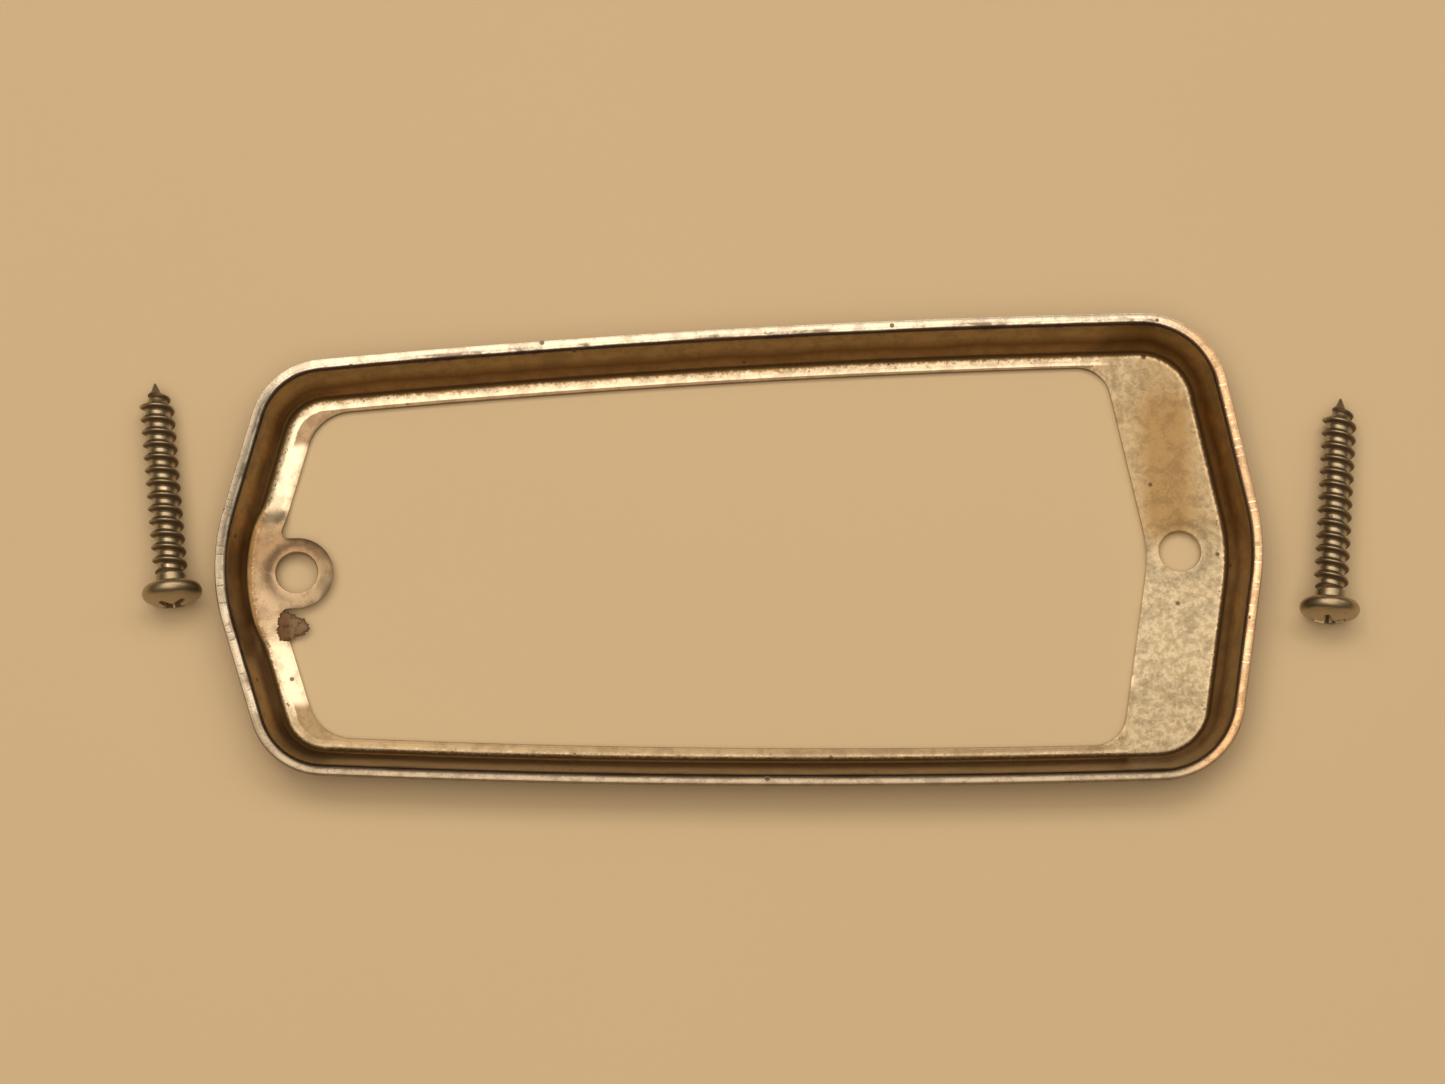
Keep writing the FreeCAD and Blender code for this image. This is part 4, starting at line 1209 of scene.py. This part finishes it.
@dataclass
class SealerScrap:
    """A torn scrap of dried sealer stuck to the floor beside the tab's neck."""

    centre: tuple[float, float] = (-52.55, -6.35)
    reach: tuple[float, float] = (1.85, 1.55)
    thickness: float = 0.16
    corners: int = 80
    raggedness: float = 0.30
    seed: int = 11

    def build(self, bezel: TrimBezel) -> bpy.types.Mesh:
        """Build the scrap on the floor that it sticks to.

        Args:
            bezel: the bezel, whose floor gives the scrap's height.

        Returns:
            The scrap's mesh, in metres.
        """
        dice = np.random.default_rng(self.seed)
        angles = np.linspace(0, TURN, self.corners, endpoint=False)
        rough = np.zeros(self.corners)
        for waves in (2, 3, 5, 9, 16, 27):
            rough += dice.normal() * np.cos(waves * angles + dice.uniform(0, TURN)) / waves ** 0.65
        scale = 1 + self.raggedness * rough / np.abs(rough).max()
        loop = np.array(self.centre) + np.c_[np.cos(angles), np.sin(angles)] * scale[:, None] * self.reach
        flat, faces = fill(loop, [], 0.2)
        away = loop_distance(flat, loop)
        crown = np.clip(away / 0.5, 0, 1)
        lump = self.thickness * (0.25 + 0.75 * crown) * dice.uniform(0.75, 1.0, len(flat))
        base = bezel.floor_height(flat)
        count = len(flat)
        spots = np.vstack([np.c_[flat, base + lump], np.c_[flat, base - 0.02]])
        sides = [[i, count + i, count + (i + 1) % self.corners,
                  (i + 1) % self.corners] for i in range(self.corners)]
        under = [[count + i for i in reversed(face)] for face in faces]
        mesh = bpy.data.meshes.new("sealer_scrap")
        mesh.from_pydata((spots * MM).tolist(), [], faces + sides + under)
        store(mesh, "rim", np.tile(np.clip(1 - away / 0.35, 0, 1), 2))
        smooth(mesh, 60.0)
        return mesh

    def dress(self, mesh: bpy.types.Mesh) -> bpy.types.Object:
        """Dress the scrap and let it ride on the bezel."""
        return finished("sealer_scrap", mesh, "bezel", [OldSealer().make()])


# ---------------------------------------------------------------- tapping screws


@dataclass
class TappingScrew:
    """A pan-head tapping screw with a cross recess, a helical thread and a gimlet point."""

    node: str
    turn: float
    recess_turn: float
    length: float = 25.0
    head_radius: float = 3.5
    head_height: float = 2.6
    head_edge: float = 0.9
    neck_radius: float = 1.75
    neck_length: float = 1.1
    core_radius: float = 1.4
    crest_radius: float = 2.05
    pitch: float = 1.588
    point_length: float = 3.2
    tip_radius: float = 0.12
    rows_per_turn: int = 22
    around: int = 44
    recess_span: float = 3.9
    recess_slot: float = 0.9
    recess_depth: float = 1.5
    head_steps: int = 112

    @staticmethod
    def thread_tree() -> bpy.types.NodeTree:
        """The tree that raises one helical ridge on a tapering shank.

        Returns:
            A Geometry Nodes tree.
        """
        inputs = {"Start": "NodeSocketGeometry", "Length": 25.0, "Core Radius": 1.4, "Crest Radius": 2.05,
                  "Neck Radius": 1.75, "Neck Length": 1.1, "Point Length": 3.2, "Tip Radius": 0.1,
                  "Pitch": 1.588, "Rows": 300, "Steps Around": 40, "Crest Width": 0.1, "Root Width": 0.72,
                  "Finish": "NodeSocketMaterial"}
        bench, given, out = open_group("Threaded Shank", "GeometryNodeTree", inputs,
                                       {"Shank": "NodeSocketGeometry"})
        take = given.outputs
        grid = bench.add("GeometryNodeMeshGrid", {"Size X": 1.0, "Size Y": 1.0, "Vertices X": take["Rows"],
                                                  "Vertices Y": take["Steps Around"]})
        down_share, round_share, _ = bench.add("ShaderNodeSeparateXYZ", {0: grid.outputs["UV Map"]}).outputs
        kept_down = bench.add("GeometryNodeCaptureAttribute", {"Geometry": grid.outputs["Mesh"]})
        kept_down.capture_items.new("FLOAT", "down")
        kept_down.capture_items.new("FLOAT", "round")
        bench.feed(kept_down.inputs["down"], down_share)
        bench.feed(kept_down.inputs["round"], round_share)
        round_share = kept_down.outputs["round"]
        down = bench.times(kept_down.outputs["down"], take["Length"])
        angle = bench.times(round_share, TURN)
        turns = bench.sum("SUBTRACT", bench.sum("DIVIDE", down, take["Pitch"]), round_share)
        phase = bench.gap(bench.sum("FRACT", turns), 0.5)
        flank = bench.add("ShaderNodeMapRange", {
            0: phase, 1: bench.times(take["Crest Width"], 0.5),
            2: bench.times(take["Root Width"], 0.5), 3: 1.0, 4: 0.0}).outputs[0]
        point_start = bench.sum("SUBTRACT", take["Length"], take["Point Length"])
        core = bench.add("ShaderNodeMapRange", {0: down, 1: point_start, 2: take["Length"],
                                                3: take["Core Radius"], 4: take["Tip Radius"]}).outputs[0]
        crest_stop = bench.sum("MULTIPLY_ADD", take["Point Length"], 0.97, point_start)
        crest = bench.ease(down, bench.sum("MULTIPLY_ADD", take["Point Length"], 0.12, point_start),
                           crest_stop, take["Crest Radius"], take["Tip Radius"])
        ridge = bench.times(bench.sum("SUBTRACT", bench.most(crest, core), core), flank)
        full = bench.sum("MULTIPLY_ADD", take["Pitch"], 0.6, take["Neck Length"])
        run_in = bench.ease(down, take["Neck Length"], full)
        ridge = bench.times(ridge, run_in)
        neck = bench.ease(down, take["Neck Length"], bench.sum("ADD", take["Neck Length"], 0.4),
                          bench.sum("SUBTRACT", take["Neck Radius"], take["Core Radius"]), 0.0)
        radius = bench.sum("ADD", bench.sum("ADD", core, neck), ridge)
        spot = bench.add("ShaderNodeCombineXYZ", {
            0: bench.times(radius, bench.sum("COSINE", angle)),
            1: bench.times(radius, bench.sum("SINE", angle)),
            2: bench.times(down, -1.0)}).outputs[0]
        shaped = bench.add("GeometryNodeSetPosition", {"Geometry": kept_down.outputs["Geometry"],
                                                       "Position": spot})
        raised = bench.sum("DIVIDE", ridge, bench.sum("SUBTRACT", take["Crest Radius"], take["Core Radius"]))
        groove = bench.times(bench.sum("SUBTRACT", 1.0, raised, clamp=True), run_in)
        rooted = bench.stored(shaped.outputs[0], "groove", groove)
        measured = bench.stored(rooted.outputs[0], "axial", down)
        real = bench.add("GeometryNodeRealizeInstances", {0: measured.outputs[0]})
        dressed = bench.add("GeometryNodeSetMaterial", {"Geometry": real.outputs[0],
                                                        "Material": take["Finish"]})
        bench.feed(out.inputs[0], dressed.outputs[0])
        return bench.tree

    def shank(self, tree: bpy.types.NodeTree) -> bpy.types.Mesh:
        """The threaded shank, point down, from the head's seat."""
        rows = int(self.length / self.pitch * self.rows_per_turn)
        values = {"Length": self.length, "Core Radius": self.core_radius, "Crest Radius": self.crest_radius,
                  "Neck Radius": self.neck_radius, "Neck Length": self.neck_length,
                  "Point Length": self.point_length, "Tip Radius": self.tip_radius, "Pitch": self.pitch,
                  "Rows": rows, "Steps Around": self.around + 1, "Crest Width": 0.10, "Root Width": 0.70}
        return grown(f"{self.node}_shank", bpy.data.meshes.new("start"), tree, values)

    def crown(self) -> tuple[float, float]:
        """The radius of the head's crown and the angle where it meets the rounded edge."""
        inner = self.head_radius - self.head_edge
        radius = (inner ** 2 + (self.head_height - self.head_edge) ** 2 - self.head_edge ** 2) / (
            2 * (self.head_height - 2 * self.head_edge))
        return radius, math.atan2(self.head_edge - self.head_height + radius, inner)

    def head_profile(self) -> list[tuple[float, float]]:
        """The head's outline from under the neck to where its crown begins."""
        inner = self.head_radius - self.head_edge
        _, meet = self.crown()
        under = [(self.neck_radius * 0.9, 0.0), (self.neck_radius + 0.1, 0.0), (inner, 0.0)]
        bulge = [(inner + self.head_edge * math.cos(a), self.head_edge + self.head_edge * math.sin(a))
                 for a in np.linspace(-math.pi / 2, meet, 16)[1:]]
        return under + bulge

    def cross_loop(self) -> np.ndarray:
        """The outline of the drive recess."""
        span, slot = self.recess_span / 2, self.recess_slot / 2
        quarter = [(span, -slot * 0.82), (span, slot * 0.82), (slot * 1.25, slot * 1.25)]
        corners, radii = [], []
        for step in range(4):
            c, s = math.cos(step * math.pi / 2), math.sin(step * math.pi / 2)
            corners += [(x * c - y * s, x * s + y * c) for x, y in quarter]
            radii += [0.22, 0.22, 0.20]
        loop = round_corners(corners, radii, 5)
        turned = math.radians(self.recess_turn)
        c, s = math.cos(turned), math.sin(turned)
        return loop @ np.array([(c, s), (-s, c)])

    def head(self) -> tuple[list[tuple[float, float, float]], list[list[int]], list[float]]:
        """The head with its recess.

        Returns:
            Its points, its faces and how sheltered each point is, from 0 to 1.
        """
        crown_radius, _ = self.crown()
        crown_base = self.head_height - crown_radius
        count = self.head_steps
        angles = np.linspace(0, TURN, count, endpoint=False)
        spots, faces, shelter = [], [], []
        profile = self.head_profile()
        for radius, height in profile:
            spots += [(radius * math.cos(a), radius * math.sin(a), height) for a in angles]
            shelter += [0.75 if height == 0 else 0.0] * count
        for ring in range(len(profile) - 1):
            for i in range(count):
                a, b = ring * count + i, ring * count + (i + 1) % count
                faces.append([a, b, b + count, a + count])
        last = (len(profile) - 1) * count
        rim = np.array([spots[last + i][:2] for i in range(count)])
        cross = self.cross_loop()
        flat, tops = fill(rim, [cross], 0.17)

        def top(points: np.ndarray) -> np.ndarray:
            """The crown's height over some places."""
            return crown_base + np.sqrt(crown_radius ** 2 - (points ** 2).sum(1))

        offset = len(spots)
        spots += [tuple(p) for p in np.c_[flat, top(flat)]]
        shelter += [0.12] * len(flat)
        faces += [[last + i if i < count else offset + i for i in face] for face in tops]
        wall = len(cross)
        above = [offset + count + i for i in range(wall)]
        steps = ((0.965, 0.05), (0.92, 0.22), (0.80, 0.62), (0.62, 1.1), (0.40, self.recess_depth))
        for scale, depth in steps:
            here = len(spots)
            spots += [tuple(p) for p in np.c_[cross * scale, top(cross) - depth]]
            shelter += [min(1.0, 0.35 + depth / 1.2)] * wall
            faces += [[above[i], here + i, here + (i + 1) % wall,
                       above[(i + 1) % wall]][::-1] for i in range(wall)]
            above = [here + i for i in range(wall)]
        spots.append((0.0, 0.0, self.head_height - self.recess_depth - 0.12))
        shelter.append(1.0)
        faces += [[above[i], above[(i + 1) % wall], len(spots) - 1] for i in range(wall)]
        return spots, faces, shelter

    def dip(self) -> float:
        """The angle that the screw tips down, from resting on its head and its last thread."""
        turns = int((self.length - self.point_length - self.neck_length - self.pitch) / self.pitch) + 1
        run = self.head_edge + self.neck_length + self.pitch * turns
        return math.atan((self.head_radius - self.crest_radius) / run)

    def build(self, tree: bpy.types.NodeTree) -> bpy.types.Mesh:
        """Build the screw and lay it where its CAD node lies.

        Args:
            tree: the tree that makes the threaded shank.

        Returns:
            The screw's mesh, in metres.
        """
        shank = self.shank(tree)
        points = spots_of(shank)
        groove, axial = np.empty(len(points), np.float32), np.empty(len(points), np.float32)
        shank.attributes["groove"].data.foreach_get("value", groove)
        shank.attributes["axial"].data.foreach_get("value", axial)
        spots, faces, shelter = self.head()
        offset = len(spots)
        mesh = bpy.data.meshes.new(self.node + "_detail")
        joined = faces + [[offset + i for i in p.vertices] for p in shank.polygons]
        mesh.from_pydata(spots + points.tolist(), [], joined)
        store(mesh, "groove", np.concatenate([shelter, groove]))
        store(mesh, "axial", np.concatenate([np.zeros(offset), axial]))
        work = bmesh.new()
        work.from_mesh(mesh)
        bmesh.ops.delete(work, geom=[v for v in work.verts if not v.link_faces], context="VERTS")
        bmesh.ops.remove_doubles(work, verts=work.verts, dist=1e-4)
        bmesh.ops.holes_fill(work, edges=[e for e in work.edges if e.is_boundary], sides=0)
        bmesh.ops.recalc_face_normals(work, faces=work.faces)
        work.to_mesh(mesh)
        work.free()
        tilt = Matrix.Rotation(math.pi / 2 - self.dip(), 4, "X")
        mesh.transform(Matrix.Scale(MM, 4) @ Matrix.Rotation(math.radians(self.turn), 4, "Z") @ tilt)
        low, high = (np.array(corner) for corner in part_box(self.node))
        laid = spots_of(mesh)
        shift = (low + high) / 2 - (laid.min(0) + laid.max(0)) / 2
        shift[2] = low[2] - laid[:, 2].min()
        place_spots(mesh, laid + shift)
        smooth(mesh, 42.0)
        return mesh

    def dress(self, mesh: bpy.types.Mesh, steel: bpy.types.Material) -> bpy.types.Object:
        """Dress the screw and stand it for its CAD node."""
        piece = finished(self.node + "_detail", mesh, self.node, [steel])
        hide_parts(self.node)
        return piece


# ---------------------------------------------------------------- studio


@dataclass(frozen=True)
class SoftLamp:
    """One soft lamp that looks at the middle of the bezel."""

    name: str
    place: tuple[float, float, float]
    width: float
    height: float
    power: float
    colour: Colour

    def light(self) -> None:
        """Hang the lamp."""
        data = bpy.data.lights.new(self.name, "AREA")
        data.shape = "RECTANGLE"
        data.size, data.size_y = self.width, self.height
        data.energy, data.color = self.power, self.colour
        lamp = bpy.data.objects.new(self.name, data)
        lamp.location = self.place
        lamp.rotation_euler = (-Vector(self.place)).to_track_quat("-Z", "Y").to_euler()
        bpy.context.scene.collection.objects.link(lamp)


@dataclass
class Studio:
    """A plain pale floor, soft lamps and the camera."""

    eye: tuple[float, float, float] = (-0.004718, -0.105670, 0.458385)
    aim: tuple[float, float, float] = (-0.001858, 0.002773, 0.0)
    lens: float = 99.65
    sensor: float = 36.0
    floor_size: float = 3.0
    floor_gap: float = 0.00005
    floor_shade: float = 0.97
    horizon: Colour = (0.045, 0.028, 0.014)
    zenith: Colour = (0.40, 0.31, 0.21)
    sky_strength: float = 0.8
    clip: tuple[float, float] = (0.01, 20.0)
    floor_colour: Colour = (0.82, 0.68, 0.49)
    lamps: tuple[SoftLamp, ...] = (
        SoftLamp("key_softbox", (-0.11, -0.13, 0.78), 0.84, 0.56, 2.3, (1.0, 0.83, 0.60)),
        SoftLamp("back_softbox", (0.0, 0.34, 0.70), 0.90, 0.30, 1.9, (1.0, 0.84, 0.62)),
        SoftLamp("side_strip", (0.55, 0.16, 0.62), 0.20, 0.60, 0.40, (0.95, 0.92, 0.70)),
    )

    def floor(self) -> None:
        """Lay the floor under the object."""
        half = self.floor_size / 2
        mesh = bpy.data.meshes.new("studio_floor")
        low = -self.floor_gap
        corners = [(-half, -half, low), (half, -half, low), (half, half, low), (-half, half, low)]
        mesh.from_pydata(corners, [], [[0, 1, 2, 3]])
        item = helper_object("studio_floor", mesh)
        material, bench, shader = open_material("pale_floor", Roughness=0.85)
        shader.inputs["Specular IOR Level"].default_value = 0.15
        shade = bench.noise(bench.place(), 14.0, 2.0)
        light, dark = self.floor_colour, tuple(c * self.floor_shade for c in self.floor_colour)
        bench.feed(shader.inputs["Base Color"], bench.mix(shade, light, dark))
        mesh.materials.append(material)

    def sky(self) -> None:
        """Soft light from all round: bright overhead and dim brown near the horizon."""
        world = bpy.data.worlds.new("studio")
        bpy.context.scene.world = world
        world.use_nodes = True
        world.node_tree.nodes.clear()
        bench = Bench(world.node_tree)
        up = bench.add("ShaderNodeSeparateXYZ",
                       {0: bench.add("ShaderNodeTexCoord").outputs["Generated"]}).outputs[2]
        colour = bench.mix(bench.ease(up, 0.1, 1.0), self.horizon, self.zenith)
        glow = bench.add("ShaderNodeBackground", {"Color": colour, "Strength": self.sky_strength})
        bench.add("ShaderNodeOutputWorld", {"Surface": glow.outputs[0]})

    def camera(self) -> None:
        """Place the camera."""
        data = bpy.data.cameras.new("camera")
        data.lens, data.sensor_width = self.lens, self.sensor
        data.clip_start, data.clip_end = self.clip
        item = bpy.data.objects.new("camera", data)
        item.location = self.eye
        item.rotation_euler = (Vector(self.aim) - Vector(self.eye)).to_track_quat("-Z", "Y").to_euler()
        bpy.context.scene.collection.objects.link(item)
        bpy.context.scene.camera = item

    def build(self) -> None:
        """Set up the whole studio."""
        self.floor()
        self.sky()
        for lamp in self.lamps:
            lamp.light()
        self.camera()
        bpy.context.scene.view_settings.view_transform = "Standard"


def main() -> None:
    """Build every piece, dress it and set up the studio."""
    logging.basicConfig(level=logging.INFO, format="%(name)s %(message)s")
    effects = Effects()
    bezel = TrimBezel()
    bezel.dress(bezel.build(), effects)
    scrap = SealerScrap()
    scrap.dress(scrap.build(bezel))
    tree = TappingScrew.thread_tree()
    steel = BronzedSteel(effects=effects).make()
    for screw in (TappingScrew("left_screw", 5.3, 45.0), TappingScrew("right_screw", -6.9, 15.0)):
        screw.dress(screw.build(tree), steel)
    Studio().build()


if __name__ == "__main__":
    main()
